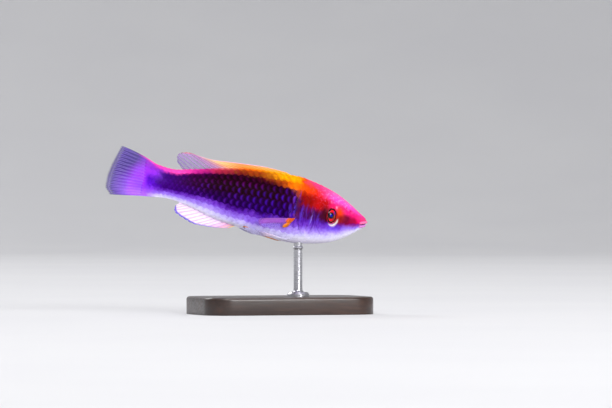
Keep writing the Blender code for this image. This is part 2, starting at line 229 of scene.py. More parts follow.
def addValues(mesh, name, values):
    mesh.attributes.new(name, "FLOAT", "POINT").data.foreach_set("value", values.astype(np.float32))


def addPiece(name, mesh, material, replaced=(), sharpFrom=None):
    # sharpFrom is the least angle of a sharp edge, in degrees
    mesh.name = name
    mesh.materials.clear()
    mesh.materials.append(material)
    mesh.shade_smooth()
    if sharpFrom:
        mesh.set_sharp_from_angle(angle=math.radians(sharpFrom))
    piece = bpy.data.objects.new(name, mesh)
    bpy.context.scene.collection.objects.link(piece)
    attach(piece, "root")
    if replaced:
        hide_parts(*replaced)


# Node helpers

def newNode(kind, *values):
    # in the node tree of the first socket among the values
    sockets = [value for value in values if isinstance(value, bpy.types.NodeSocket)]
    return sockets[0].id_data.nodes.new(kind)


def plug(socket, value):
    if isinstance(value, bpy.types.NodeSocket):
        socket.id_data.links.new(value, socket)
    else:
        socket.default_value = value


def calc(operation, *values):
    node = newNode("ShaderNodeMath", *values)
    node.operation = operation
    for socket, value in zip(node.inputs, values):
        plug(socket, value)
    return node.outputs[0]


def ease(value, low, high, first=0.0, last=1.0):
    node = newNode("ShaderNodeMapRange", value)
    node.interpolation_type = "SMOOTHSTEP"
    given = {"Value": value, "From Min": low, "From Max": high, "To Min": first, "To Max": last}
    for key, one in given.items():
        plug(node.inputs[key], one)
    return node.outputs["Result"]


def minus(first, second):
    return calc("SUBTRACT", first, second)


def linear(value, factor, start):
    return calc("MULTIPLY_ADD", value, factor, start)


def band(value, low, high, soft):
    rise = ease(value, low - soft, low + soft)
    return minus(rise, ease(value, high - soft, high + soft))


def product(first, *others):
    for other in others:
        first = calc("MULTIPLY", first, other)
    return first


def squareOff(value, middle, half):
    # how far a value is from the middle, in halves, squared
    off = calc("DIVIDE", minus(value, middle), half)
    return calc("POWER", calc("ABSOLUTE", off), 2.0)


def fading(value):
    return calc("EXPONENT", product(value, -1.0))


def blob(x, y, middle, size):
    # 1 at the middle, fading like a soft spot
    terms = [squareOff(*one) for one in zip((x, y), middle, size)]
    return fading(calc("ADD", *terms))


def distance(x, y):
    squares = [calc("MULTIPLY", value, value) for value in (x, y)]
    return calc("SQRT", calc("ADD", *squares))


def blend(share, first, second, mode="MIX"):
    node = newNode("ShaderNodeMix", share, first, second)
    node.data_type, node.blend_type = "RGBA", mode
    for index, value in ((0, share), (6, first), (7, second)):  # 6 and 7 are its sockets for colours
        plug(node.inputs[index], value)
    return node.outputs[2]


def ramp(value, stops, spread=1.0):
    # stops are places and colours; spread is the greatest place that the ramp can hold
    node = newNode("ShaderNodeValToRGB", value)
    elements = node.color_ramp.elements
    elements.remove(elements[-1])
    for k, (place, colour) in enumerate(stops):
        element = elements[0] if k == 0 else elements.new(place / spread)
        element.position, element.color = place / spread, paint[colour]
    plug(node.inputs[0], calc("DIVIDE", value, spread))
    return node.outputs[0]


def bentLine(value, points, wide, tall):
    # a curve through points that lie within a width and a height, read at a value
    node = newNode("ShaderNodeFloatCurve", value)
    line = node.mapping.curves[0]
    line.points[0].location = (points[0][0] / wide, points[0][1] / tall)
    line.points[-1].location = (points[-1][0] / wide, points[-1][1] / tall)
    for x, y in points[1:-1]:
        line.points.new(x / wide, y / tall)
    node.mapping.extend = "HORIZONTAL"
    node.mapping.update()
    plug(node.inputs["Value"], calc("DIVIDE", value, wide))
    return calc("MULTIPLY", node.outputs[0], tall)


def noise(vector, scale, detail=2.0, rough=0.5):
    node = newNode("ShaderNodeTexNoise", vector)
    for key, value in {"Vector": vector, "Scale": scale, "Detail": detail, "Roughness": rough}.items():
        plug(node.inputs[key], value)
    return node.outputs["Fac"]


def joinAxes(x, y, z=0.0):
    node = newNode("ShaderNodeCombineXYZ", x, y, z)
    for socket, value in zip(node.inputs, (x, y, z)):
        plug(socket, value)
    return node.outputs[0]


def splitMap(tree, name):
    found = tree.nodes.new("ShaderNodeUVMap")
    found.uv_map = name
    parts = tree.nodes.new("ShaderNodeSeparateXYZ")
    tree.links.new(found.outputs[0], parts.inputs[0])
    return parts.outputs[0], parts.outputs[1]


def readValues(tree, name):
    node = tree.nodes.new("ShaderNodeAttribute")
    node.attribute_name = name
    return node.outputs["Fac"]


def objectPlace(tree):
    return tree.nodes.new("ShaderNodeTexCoord").outputs["Object"]


def bump(height, depth, strength=1.0):
    node = newNode("ShaderNodeBump", height)
    plug(node.inputs["Height"], height)
    node.inputs["Distance"].default_value = depth
    node.inputs["Strength"].default_value = strength
    return node.outputs[0]


def stretched(tree, scale):
    # the object's place, for a pattern drawn out along its long side
    node = tree.nodes.new("ShaderNodeMapping")
    node.inputs["Scale"].default_value = scale
    tree.links.new(objectPlace(tree), node.inputs["Vector"])
    return node.outputs[0]


def shaded(colour, value, factor, start):
    # the colour made darker or lighter by a value
    shade = linear(value, factor, start)
    return blend(1.0, colour, joinAxes(shade, shade, shade), "MULTIPLY")


def newGroup(name, inputs, outputs):
    # a shader node group; each input and output is a name and a kind of socket
    tree = bpy.data.node_groups.new(name, "ShaderNodeTree")
    for way, sockets in (("INPUT", inputs), ("OUTPUT", outputs)):
        for key, kind in sockets.items():
            tree.interface.new_socket(name=key, in_out=way, socket_type=kind)
    return tree, tree.nodes.new("NodeGroupInput").outputs, tree.nodes.new("NodeGroupOutput").inputs


def useGroup(tree, group, **given):
    node = tree.nodes.new("ShaderNodeGroup")
    node.node_tree = group
    for key, value in given.items():
        plug(node.inputs[key], value)
    return node.outputs


def newMaterial(name, fixed):
    # fixed holds the shader's values that are the same all over the surface
    made = bpy.data.materials.new(name)
    made.use_nodes = True
    shader = made.node_tree.nodes["Principled BSDF"]
    for key, value in fixed.items():
        shader.inputs[key].default_value = value
    return made, made.node_tree, shader.inputs


def fromScreen(red, green, blue):
    # a colour as a screen shows it, turned into light
    def light(c):
        return c / 12.92 if c <= 0.04045 else ((c + 0.055) / 1.055) ** 2.4

    return (light(red), light(green), light(blue), 1.0)


paint = {name: fromScreen(*colour) for name, colour in {
    "snoutRose": (0.85, 0.26, 0.45),
    "rosePink": (0.94, 0.36, 0.66),
    "candyPink": (0.97, 0.28, 0.70),
    "palePink": (1.0, 0.70, 0.86),
    "browPink": (1.0, 0.58, 0.82),
    "dustyViolet": (0.54, 0.25, 0.60),
    "lipPink": (0.95, 0.55, 0.74),
    "hotPink": (0.97, 0.22, 0.46),
    "snoutCrimson": (0.92, 0.10, 0.45),
    "flameRed": (0.90, 0.15, 0.08),
    "bloodRed": (0.67, 0.05, 0.05),
    "brickRed": (0.52, 0.04, 0.02),
    "scarlet": (0.94, 0.27, 0.03),
    "flameOrange": (0.95, 0.24, 0.05),
    "orange": (0.95, 0.44, 0.02),
    "amber": (0.97, 0.64, 0.01),
    "cream": (0.98, 0.84, 0.58),
    "brownOrange": (0.74, 0.42, 0.05),
    "olive": (0.50, 0.27, 0.03),
    "rust": (0.60, 0.22, 0.04),
    "rustLight": (0.86, 0.38, 0.10),
    "roseBrown": (0.84, 0.38, 0.42),
    "darkRust": (0.50, 0.13, 0.05),
    "crimson": (0.66, 0.13, 0.26),
    "magenta": (0.72, 0.12, 0.52),
    "coral": (0.94, 0.26, 0.66),
    "rootPlum": (0.54, 0.17, 0.74),
    "maroon": (0.32, 0.04, 0.08),
    "maroonBlack": (0.13, 0.0, 0.07),
    "plumBlack": (0.17, 0.0, 0.19),
    "violetBlack": (0.14, 0.0, 0.28),
    "plum": (0.38, 0.02, 0.38),
    "deepViolet": (0.22, 0.01, 0.44),
    "royalViolet": (0.31, 0.09, 0.60),
    "violet": (0.43, 0.21, 0.74),
    "lilac": (0.56, 0.40, 0.88),
    "lavender": (0.68, 0.57, 0.94),
    "paleLavender": (0.84, 0.81, 1.0),
    "milk": (0.93, 0.91, 1.0),
    "shellWhite": (0.97, 0.90, 0.88),
    "indigo": (0.28, 0.01, 0.68),
    "rootViolet": (0.58, 0.18, 0.90),
    "rootBlue": (0.37, 0.06, 0.79),
    "rootBright": (0.53, 0.22, 0.90),
    "rootLilac": (0.63, 0.36, 0.93),
    "dashBlue": (0.36, 0.22, 0.84),
    "dashViolet": (0.24, 0.06, 0.66),
    "periwinkle": (0.56, 0.45, 0.92),
    "wine": (0.25, 0.01, 0.24),
    # the tone of the scales' dark rims, also used as their painted overlap shade
    "edgeShade": (0.66, 0.50, 0.70),
    "wineBlack": (0.25, 0.01, 0.08),
    "wineRed": (0.44, 0.01, 0.18),
    "crimsonDark": (0.66, 0.02, 0.24),
    "brownRed": (0.46, 0.04, 0.07),
    "greyViolet": (0.21, 0.12, 0.47),
    "smokeViolet": (0.46, 0.38, 0.62),
    "tailViolet": (0.42, 0.19, 0.70),
    "tailPink": (0.64, 0.25, 0.88),
    "tailRay": (0.66, 0.56, 0.92),
    "pinkViolet": (0.72, 0.48, 0.72),
    "mauve": (0.72, 0.54, 0.80),
    "rayLilac": (0.79, 0.65, 0.84),
    "pinkWhite": (0.97, 0.88, 0.98),
    "finBlue": (0.45, 0.38, 0.84),
    "finOrange": (0.93, 0.52, 0.04),
    "peach": (0.95, 0.64, 0.36),
    "dullRose": (0.80, 0.44, 0.52),
    "deepOrange": (0.86, 0.33, 0.01),
    "rootOrange": (0.84, 0.46, 0.03),
    "streakPink": (0.66, 0.36, 0.80),
    "pupilGlintBlue": (0.0, 0.0, 0.66),
    "pupilDark": (0.0, 0.0, 0.22),
    "irisRed": (0.94, 0.04, 0.12),
    "irisDark": (0.50, 0.02, 0.04),
    "eyeDark": (0.04, 0.0, 0.03),
    "woodDark": (0.10, 0.06, 0.045),
    "woodMid": (0.17, 0.10, 0.07),
    "woodLight": (0.25, 0.15, 0.10),
    "steelLow": (0.70, 0.70, 0.72),
    "steelHigh": (0.82, 0.82, 0.84),
    "paper": (0.82, 0.82, 0.83),
    "paperShade": (0.81, 0.81, 0.822),
}.items()}


# Colours of the whole fish, shared by its skin and its scales

markForm = {
    # colours along the body, by millimetres behind the snout
    "back": [
        (0.0, "snoutRose"), (5.0, "rosePink"), (11.0, "rosePink"), (15.5, "hotPink"), (18.5, "hotPink"),
        (20.8, "scarlet"), (23.5, "amber"), (27.5, "amber"), (31.0, "brownOrange"), (35.0, "rust"),
        (40.5, "darkRust"), (47.0, "crimson"), (53.0, "magenta"), (57.0, "coral"), (63.0, "coral"),
    ],
    "upperFlank": [
        (0.0, "snoutCrimson"), (6.0, "candyPink"), (11.0, "candyPink"), (14.5, "hotPink"), (17.0, "flameRed"),
        (20.5, "scarlet"), (24.0, "orange"), (28.0, "rust"), (33.0, "maroon"), (37.0, "maroonBlack"),
        (47.0, "plumBlack"), (51.0, "plum"), (54.5, "magenta"), (57.0, "coral"), (60.0, "coral"),
        (63.0, "rootPlum"),
    ],
    "temple": [
        (0.0, "snoutRose"), (4.0, "snoutCrimson"), (11.0, "snoutCrimson"), (14.0, "bloodRed"),
        (16.5, "bloodRed"), (19.0, "brickRed"), (21.5, "brickRed"), (24.0, "maroon"),
    ],
    # a lighter orange along the top of the back, a painted highlight
    "ridge": [
        (26.0, "amber"), (31.5, "amber"), (35.5, "orange"), (40.0, "rustLight"), (45.0, "roseBrown"),
        (50.0, "magenta"), (54.0, "coral"),
    ],
    "darkUp": [
        (22.0, "plumBlack"), (30.0, "maroonBlack"), (46.0, "maroonBlack"), (54.0, "plumBlack"),
        (61.5, "deepViolet"), (66.5, "violet"),
    ],
    "darkLow": [(22.0, "violetBlack"), (48.0, "violetBlack"), (62.0, "deepViolet"), (66.0, "indigo")],
    "cheek": [
        (0.0, "snoutRose"), (2.2, "snoutCrimson"), (4.0, "crimsonDark"), (6.5, "wineRed"), (8.5, "wineRed"),
        (10.0, "brownRed"), (13.5, "wineBlack"), (17.0, "wine"), (22.0, "wine"),
    ],
    # colours round the body, by degrees from the back
    "trunkBelly": [
        (104, "deepViolet"), (112, "royalViolet"), (120, "violet"), (129, "lilac"), (139, "lavender"),
        (150, "paleLavender"), (163, "milk"),
    ],
    "headBelly": [
        (100, "wine"), (108, "royalViolet"), (115, "violet"), (121, "lilac"), (129, "lavender"),
        (138, "paleLavender"), (149, "milk"),
    ],
    "chin": [
        (99, "crimsonDark"), (106, "dustyViolet"), (113, "lilac"), (121, "lavender"), (131, "paleLavender"),
        (144, "milk"),
    ],
    "tailRoot": [
        (0, "coral"), (12, "coral"), (28, "rootPlum"), (42, "rootPlum"), (68, "rootViolet"), (84, "indigo"),
        (100, "rootBlue"), (118, "rootBright"), (145, "rootLilac"),
    ],
    # lines along the body: millimetres behind the snout, and degrees from the back
    "flankTop": [
        (0, 66), (21, 63), (25, 57), (31, 52), (38, 44), (48, 43), (54, 44), (58, 46), (68, 59),
    ],
    "cheekTop": [(0, 90), (4, 84), (9, 82), (13, 82), (18, 88), (22, 84), (24, 76), (70, 76)],
    # by how many degrees the belly's pale colours stand higher, and the chin's lower
    "bellyRise": [(0, 3), (26, 3), (31, 0), (42, 0), (49, 5), (56, -2), (70, -2)],
    "chinDrop": [(0, 11), (4, 8), (8, 2), (11, 0), (16, 0), (70, 0)],
    # how strong the dashes on the scales are
    "dashes": [(0, 0.4), (22, 0.9), (28, 0.8), (38, 0.6), (50, 0.5), (58, 0.3), (63, 0.1), (70, 0.0)],
    "streakLean": 0.012,  # millimetres back for a degree down
    # single spots: behind the snout and degrees from the back, half size, strength, colour
    "gillStreaks": [
        ((24.1, 78), (0.55, 14), 0.8, "wine"),
        ((23.9, 74), (0.2, 9), 0.8, "violet"), ((23.5, 90), (0.15, 9), 0.5, "dashBlue"),
        ((22.4, 70), (0.2, 8), 0.5, "royalViolet"), ((25.0, 96), (0.17, 8), 0.45, "dashBlue"),
        ((24.3, 104), (0.25, 7), 0.7, "violet"), ((21.2, 96), (0.2, 10), 0.6, "dashBlue"),
        ((19.4, 102), (0.22, 8), 0.6, "royalViolet"), ((17.9, 105), (0.2, 10), 0.65, "periwinkle"),
        ((17.1, 110), (0.28, 13), 0.8, "deepViolet"), ((15.9, 112), (0.2, 9), 0.45, "royalViolet"),
        ((20.2, 112), (0.25, 9), 0.6, "royalViolet"), ((22.6, 112), (0.3, 9), 0.6, "violet"),
    ],
    "roundEye": [
        ((9.4, 80), (1.25, 16), 1.0, "flameOrange"), ((9.0, 94), (1.0, 7), 0.85, "brownRed"),
        # the pale pink spot over the lid is a painted highlight, and the wine black spot behind the eye is
        # painted shade
        ((10.6, 71), (0.28, 3.5), 0.5, "palePink"), ((14.3, 90), (0.9, 11), 0.85, "wineBlack"),
        ((10.7, 117), (2.4, 6), 0.65, "dashBlue"),
    ],
}


def markPlaces(tree):
    # s0 and d0 are plain, and s and d are blurred by noise so that no edge is straight
    u, v = splitMap(tree, "formMap")
    place = objectPlace(tree)
    s0 = product(u, mapLength)
    d0 = product(v, mapTurn)
    wide = minus(noise(place, 380.0), 0.5)
    fine = minus(noise(place, 1300.0), 0.5)
    s = linear(wide, 4.0, linear(fine, 1.2, s0))
    d = linear(wide, 14.0, linear(fine, 8.0, d0))
    return SimpleNamespace(place=place, fine=fine, s0=s0, d0=d0, s=s, d=d)


def alongBody(at, key):
    return ramp(at.s, markForm[key], mapLength)


def bodyLine(at, key, tall=mapTurn):
    return bentLine(at.s0, markForm[key], mapLength, tall)


def backColours(at, onHead):
    # pink, orange and coral from snout to tail, with a painted highlight along the ridge and olive mottles
    upper = blend(ease(at.d, 26.0, 48.0), alongBody(at, "back"), alongBody(at, "upperFlank"))
    onTemple = product(ease(at.d, 50.0, 68.0), onHead)
    upper = blend(onTemple, upper, alongBody(at, "temple"))
    # a painted highlight along the ridge of the back
    ridgeHighlight = product(ease(at.d0, 10.0, 24.0, 1.0, 0.0), band(at.s0, 27.0, 58.0, 2.0), 0.8)
    upper = blend(ridgeHighlight, upper, alongBody(at, "ridge"))
    mottle = ease(noise(at.place, 850.0), 0.46, 0.62)
    inZone = product(band(at.s0, 24.0, 44.0, 2.0), band(at.d0, 16.0, 52.0, 8.0))
    return blend(product(mottle, inZone, 0.4), upper, paint["olive"])


def darkColours(at, colour, below, onHead):
    # the black flank, and the dark red cheek in front of it
    darkMask = product(
        ease(below, -8.0, 8.0), ease(at.s, 20.8, 23.6),
        ease(at.s, 64.0, 70.0, 1.0, 0.5),
    )
    dark = blend(ease(at.d, 78.0, 104.0), alongBody(at, "darkUp"), alongBody(at, "darkLow"))
    colour = blend(darkMask, colour, dark)
    onCheek = ease(minus(at.d, bodyLine(at, "cheekTop")), -10.0, 8.0)
    return blend(product(onCheek, onHead), colour, alongBody(at, "cheek"))


def bellyColours(at, colour):
    # violet to milk white under the trunk, the head and the chin
    raised = calc("ADD", at.d, bodyLine(at, "bellyRise"))
    trunkBelly = ramp(raised, markForm["trunkBelly"], mapTurn)
    colour = blend(ease(raised, 105.0, 117.0), colour, trunkBelly)
    lowered = minus(at.d, bodyLine(at, "chinDrop"))
    underHead = product(ease(lowered, 98.0, 108.0), ease(at.s, 19.5, 25.5, 1.0, 0.0))
    headBelly = ramp(at.d, markForm["headBelly"], mapTurn)
    chin = ramp(lowered, markForm["chin"], mapTurn)
    headBelly = blend(ease(at.s0, 6.0, 9.5, 1.0, 0.0), headBelly, chin)
    return blend(underHead, colour, headBelly)


def gillColours(at, colour):
    # fine violet streaks down the gill cover, then the bolder ones
    grain = noise(joinAxes(product(at.s0, 1.3), product(at.d0, 0.035)), 1.0)
    inZone = product(band(at.s0, 14.5, 25.0, 0.9), band(at.d0, 86.0, 120.0, 8.0))
    light = product(ease(grain, 0.52, 0.62), inZone, 0.28)
    colour = blend(light, colour, paint["dashBlue"])
    deep = product(ease(grain, 0.38, 0.48, 1.0, 0.0), inZone, 0.5)
    colour = blend(deep, colour, paint["deepViolet"])
    lean = markForm["streakLean"]
    leaning = linear(at.d0, -lean, linear(at.fine, 0.5, at.s0))
    for (s, d), half, share, shade in markForm["gillStreaks"]:
        spot = blob(leaning, at.d0, (s - lean * d, d), half)
        colour = blend(product(spot, share), colour, paint[shade])
    return colour


def spotColours(at, colour):
    # pale speckles over the brow, part pigment and part painted sparkle, the spots round the eye, among them
    # a painted highlight and painted shade, and the violet root of the tail
    # speckles over the brow, part pigment and part painted sparkle
    specklesAndSparkles = ease(noise(at.place, 1500.0, 3.0), 0.5, 0.68)
    brow = product(blob(at.s0, at.d0, (10.0, 44.0), (5.5, 24.0)), specklesAndSparkles, 0.5)
    colour = blend(brow, colour, paint["browPink"])
    for middle, half, share, shade in markForm["roundEye"]:
        spot = blob(at.s0, at.d0, middle, half)
        colour = blend(product(spot, share), colour, paint[shade])
    tailRoot = ramp(at.d, markForm["tailRoot"], mapTurn)
    colour = blend(ease(at.s, 62.3, 66.3), colour, tailRoot)
    beforeTail = product(ease(at.s0, 65.8, 67.6), band(at.d0, 66.0, 112.0, 10.0))
    return blend(beforeTail, colour, paint["rootViolet"])


def dashMarks(at, below, result):
    # how strong the dashes, the rims and the painted shade where the scales overlap are, and the dashes'
    # colour
    dash = product(
        ease(below, 0.0, 28.0, 0.25, 1.0), ease(below, 0.0, 8.0),
        bodyLine(at, "dashes", 1), ease(at.d0, 112.0, 126.0, 1.0, 0.0),
        ease(at.s0, 21.0, 23.5),
    )
    plug(result["Dash"], dash)
    rim = product(
        ease(at.s0, 22.5, 26.0, 0.06, 1.0), ease(at.s0, 46.0, 60.0, 1.0, 0.35),
        ease(below, -4.0, 8.0, 0.35, 1.0), ease(at.d0, 104.0, 118.0, 1.0, 0.15),
    )
    plug(result["Rim"], rim)
    arc = blend(ease(at.s0, 32.0, 46.0), paint["dashViolet"], paint["royalViolet"])
    isPlum = product(ease(at.d0, 58.0, 80.0, 1.0, 0.0), ease(at.s0, 26.0, 36.0, 0.3, 1.0))
    plug(result["Dash Colour"], blend(isPlum, arc, paint["plum"]))


def makeMarkings():
    tree, _, result = newGroup("fishMarkings", {}, {
        "Colour": "NodeSocketColor", "Dash": "NodeSocketFloat", "Edge": "NodeSocketColor",
        "Rim": "NodeSocketFloat", "Dash Colour": "NodeSocketColor",
    })
    at = markPlaces(tree)
    below = minus(at.d, bodyLine(at, "flankTop"))
    onHead = ease(at.s0, 21.5, 24.5, 1.0, 0.0)
    colour = darkColours(at, backColours(at, onHead), below, onHead)
    for paintOver in (bellyColours, gillColours, spotColours):
        colour = paintOver(at, colour)
    colour = shaded(colour, at.fine, 0.35, 1.0)
    plug(result["Colour"], colour)
    # the Edge tone gives the scales' dark rims and the painted shade where they overlap
    plug(result["Edge"], blend(1.0, colour, paint["edgeShade"], "MULTIPLY"))
    dashMarks(at, below, result)
    return tree


markings = makeMarkings()
print("markings mixed")


# Skin: one surface from the lips to the tail base

skinForm = {
    "columns": 240,
    "headRows": 150,
    "trunkRows": 118,
    "rowCrowding": 1.25,  # more rows towards the snout
    "mouthLine": (-0.45, -0.32),  # its height at the snout, and its slope
    "mouthCorner": 2.1,
    "lipLift": 0.5,
    "lip": (0.34, 0.28),  # half its width, and its height
    "lipEnd": (0.2, 0.7),  # the lips fade from this far before the corner to this far behind it
    "lipGroove": (1.05, 0.1, 0.09),  # its distance from the mouth line, half width and depth
    "cornerGroove": (0.55, 0.16, 0.8, 0.1),  # behind the corner, half length, half height, depth
    "slit": (0.1, 0.5),  # the mouth's slit: half its width, and its depth
    "slitEnd": (0.4, 0.2),
    "slitPaintedShade": 0.12,  # half the width of the line of painted shade in it
    "nostrils": [(6.0, 2.2), (7.4, 2.8)],
    "nostrilRim": (0.36, 0.11, 0.1),  # its radius, half width and height
    "nostrilPit": (0.21, 0.32),  # half its width, and its depth
    "nostrilPaintedShade": 0.2,
    "cheekEdge": (16.8, -1.5, 0.1225),  # where the fore gill cover ends, the height there, and its bend
    "cheekRidge": (0.45, 0.45, 0.12),  # before that edge, half width, height
    "cheekGroove": (0.14, 0.16),  # half width, depth
    "cheekEnds": ((-6.8, -4.8), (1.5, 2.6)),  # heights over which both fade
    "scaledHead": 0.05,  # how much deeper the skin lies under the head's scales
    "tints": [  # masks of the head's forms, how strong, and the colour
        ("rim", 0.85, "irisRed"), ("crescent", 1.0, "shellWhite"), ("lip", 0.6, "lipPink"),
        # the dark mask paints shade into the mouth's slit and the nostrils' pits
        ("dark", 0.9, "wineBlack"),
    ],
    "flapBack": 0.35,  # where the trunk's skin starts, behind the gill cover's edge
    "plainRows": 8,  # rings along the gill cover's edge without relief
}

eyeForm = {
    "at": (11.8, -0.25),  # behind the snout, above the axis
    "radius": 2.65,
    "halfDepth": 1.5,
    "sunk": 0.9,
    "opening": (1.42, 2.08),  # half its length and height between the lids
    "ringBack": 0.17,  # the middle of the opening lies behind the ball's
    "ring": (1.34, 2.01),  # the dark ring's outer edge
    "pupilBack": 0.5,
    "pupil": 0.83,
    "pupilTall": 1.12,  # its height over its length
    "bulge": 0.12,  # of the cornea over the pupil
    "lidCover": 0.09,  # how far the lids stand over the ball
    "lidRidge": (1.1, 0.09, 0.1),  # a ring, in half openings: where, how wide and how high
    "lidCrease": (1.5, 0.1, 0.05),
    "lidEnd": (1.7, 2.0),  # where the lids fade into the cheek
    "lidStart": (0.93, 1.0),  # in half openings
    "behindLids": 1.2,  # how deep the skin drops inside the opening
    "redRim": (0.07, 0.35),  # of the lids: half its width, and its strength where it is weakest
    "redTurn": (-40, 60),  # where it grows strong, in degrees down from the front
}


def eyeAxes(side):
    # the eye's place on the flank, and the directions out, forward and up there
    place, normal = flankFrame(*eyeForm["at"], side)
    forward = np.array((1.0, 0.0, 0.0)) - normal * normal[0]
    forward /= np.linalg.norm(forward)
    upward = np.cross(normal, forward)
    return place, normal, forward, upward * np.sign(upward[2])


def lidRelief(points, side):
    # lids that follow the ball outside the opening and drop behind it inside, and masks round the opening
    place, normal, forward, upward = eyeAxes(side)
    off = points - place
    x, y, out = off @ forward, off @ upward, off @ normal
    inBall = np.clip(1 - (x * x + y * y) / eyeForm["radius"] ** 2, 0, None)
    ball = eyeForm["halfDepth"] * np.sqrt(inBall) - eyeForm["sunk"]
    across, tall = eyeForm["opening"]
    fromRing = x + eyeForm["ringBack"]
    edge = np.hypot(fromRing / across, y / tall)
    near = (points[..., 1] * side > 0) * (1 - easeStep(edge, *eyeForm["lidEnd"]))
    ridgeAt, ridgeWidth, ridge = eyeForm["lidRidge"]
    creaseAt, creaseWidth, crease = eyeForm["lidCrease"]
    relief = np.clip(ball + eyeForm["lidCover"] - out, 0, 0.8)
    relief = relief + ridge * hill(edge - ridgeAt, ridgeWidth) - crease * hill(edge - creaseAt, creaseWidth)
    outside = easeStep(edge, *eyeForm["lidStart"])
    relief = relief * outside - eyeForm["behindLids"] * (1 - outside)
    turn = np.degrees(np.arctan2(-y / tall, fromRing / across))
    rimWidth, weakest = eyeForm["redRim"]
    rim = hill(edge - 1.0, rimWidth) * (weakest + (1 - weakest) * easeStep(turn, *eyeForm["redTurn"]))
    # a pale crescent below and before the eye
    middle = 1.2 + 0.42 * easeStep(110 - turn, 0, 95)
    crescent = hill(edge - middle, 0.07 + 0.14 * easeStep(115 - turn, 10, 70))
    crescent = crescent * easeStep(turn, 5, 24) * (1 - easeStep(turn, 85, 118))
    return near * relief, near * rim, near * 0.9 * crescent


def cornerFade(s, key):
    before, behind = skinForm[key]
    return 1 - easeStep(s, skinForm["mouthCorner"] - before, skinForm["mouthCorner"] + behind)


def mouthRelief(s, up):
    # lips with a slit between them and grooves behind them, and masks of the lips and of the painted shade in
    # the slit
    front, slope = skinForm["mouthLine"]
    away = up - (front + slope * s)
    lift = skinForm["lipLift"]
    lipWidth, lipHeight = skinForm["lip"]
    slitWidth, slitDepth = skinForm["slit"]
    lipFade, slitFade = cornerFade(s, "lipEnd"), cornerFade(s, "slitEnd")
    lips = (hill(away - lift, lipWidth) + hill(away + lift, lipWidth)) * lipFade
    relief = lipHeight * lips - slitDepth * hill(away, slitWidth) * slitFade
    grooveAt, grooveWidth, grooveDepth = skinForm["lipGroove"]
    relief -= grooveDepth * hill(np.abs(away) - grooveAt, grooveWidth) * lipFade
    behind, long, tall, depth = skinForm["cornerGroove"]
    relief -= depth * hill(s - skinForm["mouthCorner"] - behind, long) * hill(away, tall)
    return relief, lips, hill(away, skinForm["slitPaintedShade"]) * slitFade


def cheekRelief(s, up):
    # a ridge and a groove along the edge of the fore gill cover
    edgeAt, edgeUp, bend = skinForm["cheekEdge"]
    behind = s - (edgeAt - bend * (up - edgeUp) ** 2)
    lower, upper = skinForm["cheekEnds"]
    window = easeStep(up, *lower) * (1 - easeStep(up, *upper))
    ridgeAt, ridgeWidth, height = skinForm["cheekRidge"]
    grooveWidth, depth = skinForm["cheekGroove"]
    return window * (height * hill(behind + ridgeAt, ridgeWidth) - depth * hill(behind, grooveWidth))


def headRelief(points):
    # height of lips, nostrils, eyelids and gill plates over the plain form, and masks for their colours and
    # for the painted shade in the mouth's slit and the nostrils' pits
    s, up = -points[..., 0], points[..., 2]
    relief, lips, dark = mouthRelief(s, up)
    rim, crescent = np.zeros_like(s), np.zeros_like(s)
    rimAt, rimWidth, rimHeight = skinForm["nostrilRim"]
    pitWidth, pitDepth = skinForm["nostrilPit"]
    for side in (-1, 1):
        near = points[..., 1] * side > 0
        for nostril in skinForm["nostrils"]:
            place = flankPoints(np.array(nostril[0]), np.array(nostril[1]), side)
            r = np.linalg.norm(points - place, axis=-1)
            relief += near * (rimHeight * hill(r - rimAt, rimWidth) - pitDepth * hill(r, pitWidth))
            # painted shade in the nostril's pit
            dark += near * hill(r, skinForm["nostrilPaintedShade"])
        lids, lidEdge, under = lidRelief(points, side)
        relief, rim, crescent = relief + lids, rim + lidEdge, crescent + under
    relief += cheekRelief(s, up)
    masks = {"lip": 1.6 * lips, "dark": dark, "rim": rim, "crescent": crescent}
    return relief, {name: np.clip(mask, 0, 1) for name, mask in masks.items()}


def surfaceNormals(grid):
    # of a closed tube of rings, rows by columns, pointing out
    along = np.gradient(grid, axis=0)
    around = np.roll(grid, -1, axis=1) - np.roll(grid, 1, axis=1)
    normals = np.cross(around, along)
    size = np.linalg.norm(normals, axis=-1, keepdims=True)
    normals = normals / np.where(size < 1e-9, 1, size)
    outward = grid * (0, 1, 1)
    return normals * np.where((normals * outward).sum(-1, keepdims=True) < 0, -1, 1)


def skinRows():
    # every ring as its distances behind the snout, the same for the maps, and how far it stands out
    angles = np.linspace(0, 2 * math.pi, skinForm["columns"] + 1)
    folded = 180 - np.abs(180 - np.degrees(angles))
    edge = gillEdgeAt(folded)
    flap = flapShare(folded)
    rim, coat = fishForm["gillRim"], fishForm["coat"]
    rows = []
    for k in range(skinForm["headRows"] + 1):
        share = (k / skinForm["headRows"]) ** skinForm["rowCrowding"]
        scaled = easeStep(edge * share, 12, 15) * skinForm["scaledHead"]
        rows.append((edge * share, edge * share, rim * easeStep(share, 0.9, 0.97) * flap - scaled))
    tucks = [  # rings that fold under the gill cover: back from its edge with a flap and without, and height
        (0.03, 0.04, rim - 0.06), (0.02, 0.08, rim - 0.16), (-0.25, 0.14, 0.0), (-0.2, 0.2, -0.16),
        (0.35, 0.3, -coat),
    ]
    for withFlap, plain, height in tucks:
        sunk = coat * (1 - flap) * plain / 0.3
        rows.append((edge + withFlap * flap + plain * (1 - flap), edge + plain, height * flap - sunk))
    start = edge + skinForm["flapBack"]
    for k in range(skinForm["trunkRows"] + 1):
        s = start + (fishEnd - start) * k / skinForm["trunkRows"]
        rows.append((s, s, -coat * (1 - easeStep(s, 64, 67))))
    return angles, folded, rows


def bakeAlong(s):
    return 0.02 + 0.96 * s / mapLength


def bakeAround(angle):
    return 0.02 + 0.96 * angle / (2 * math.pi)


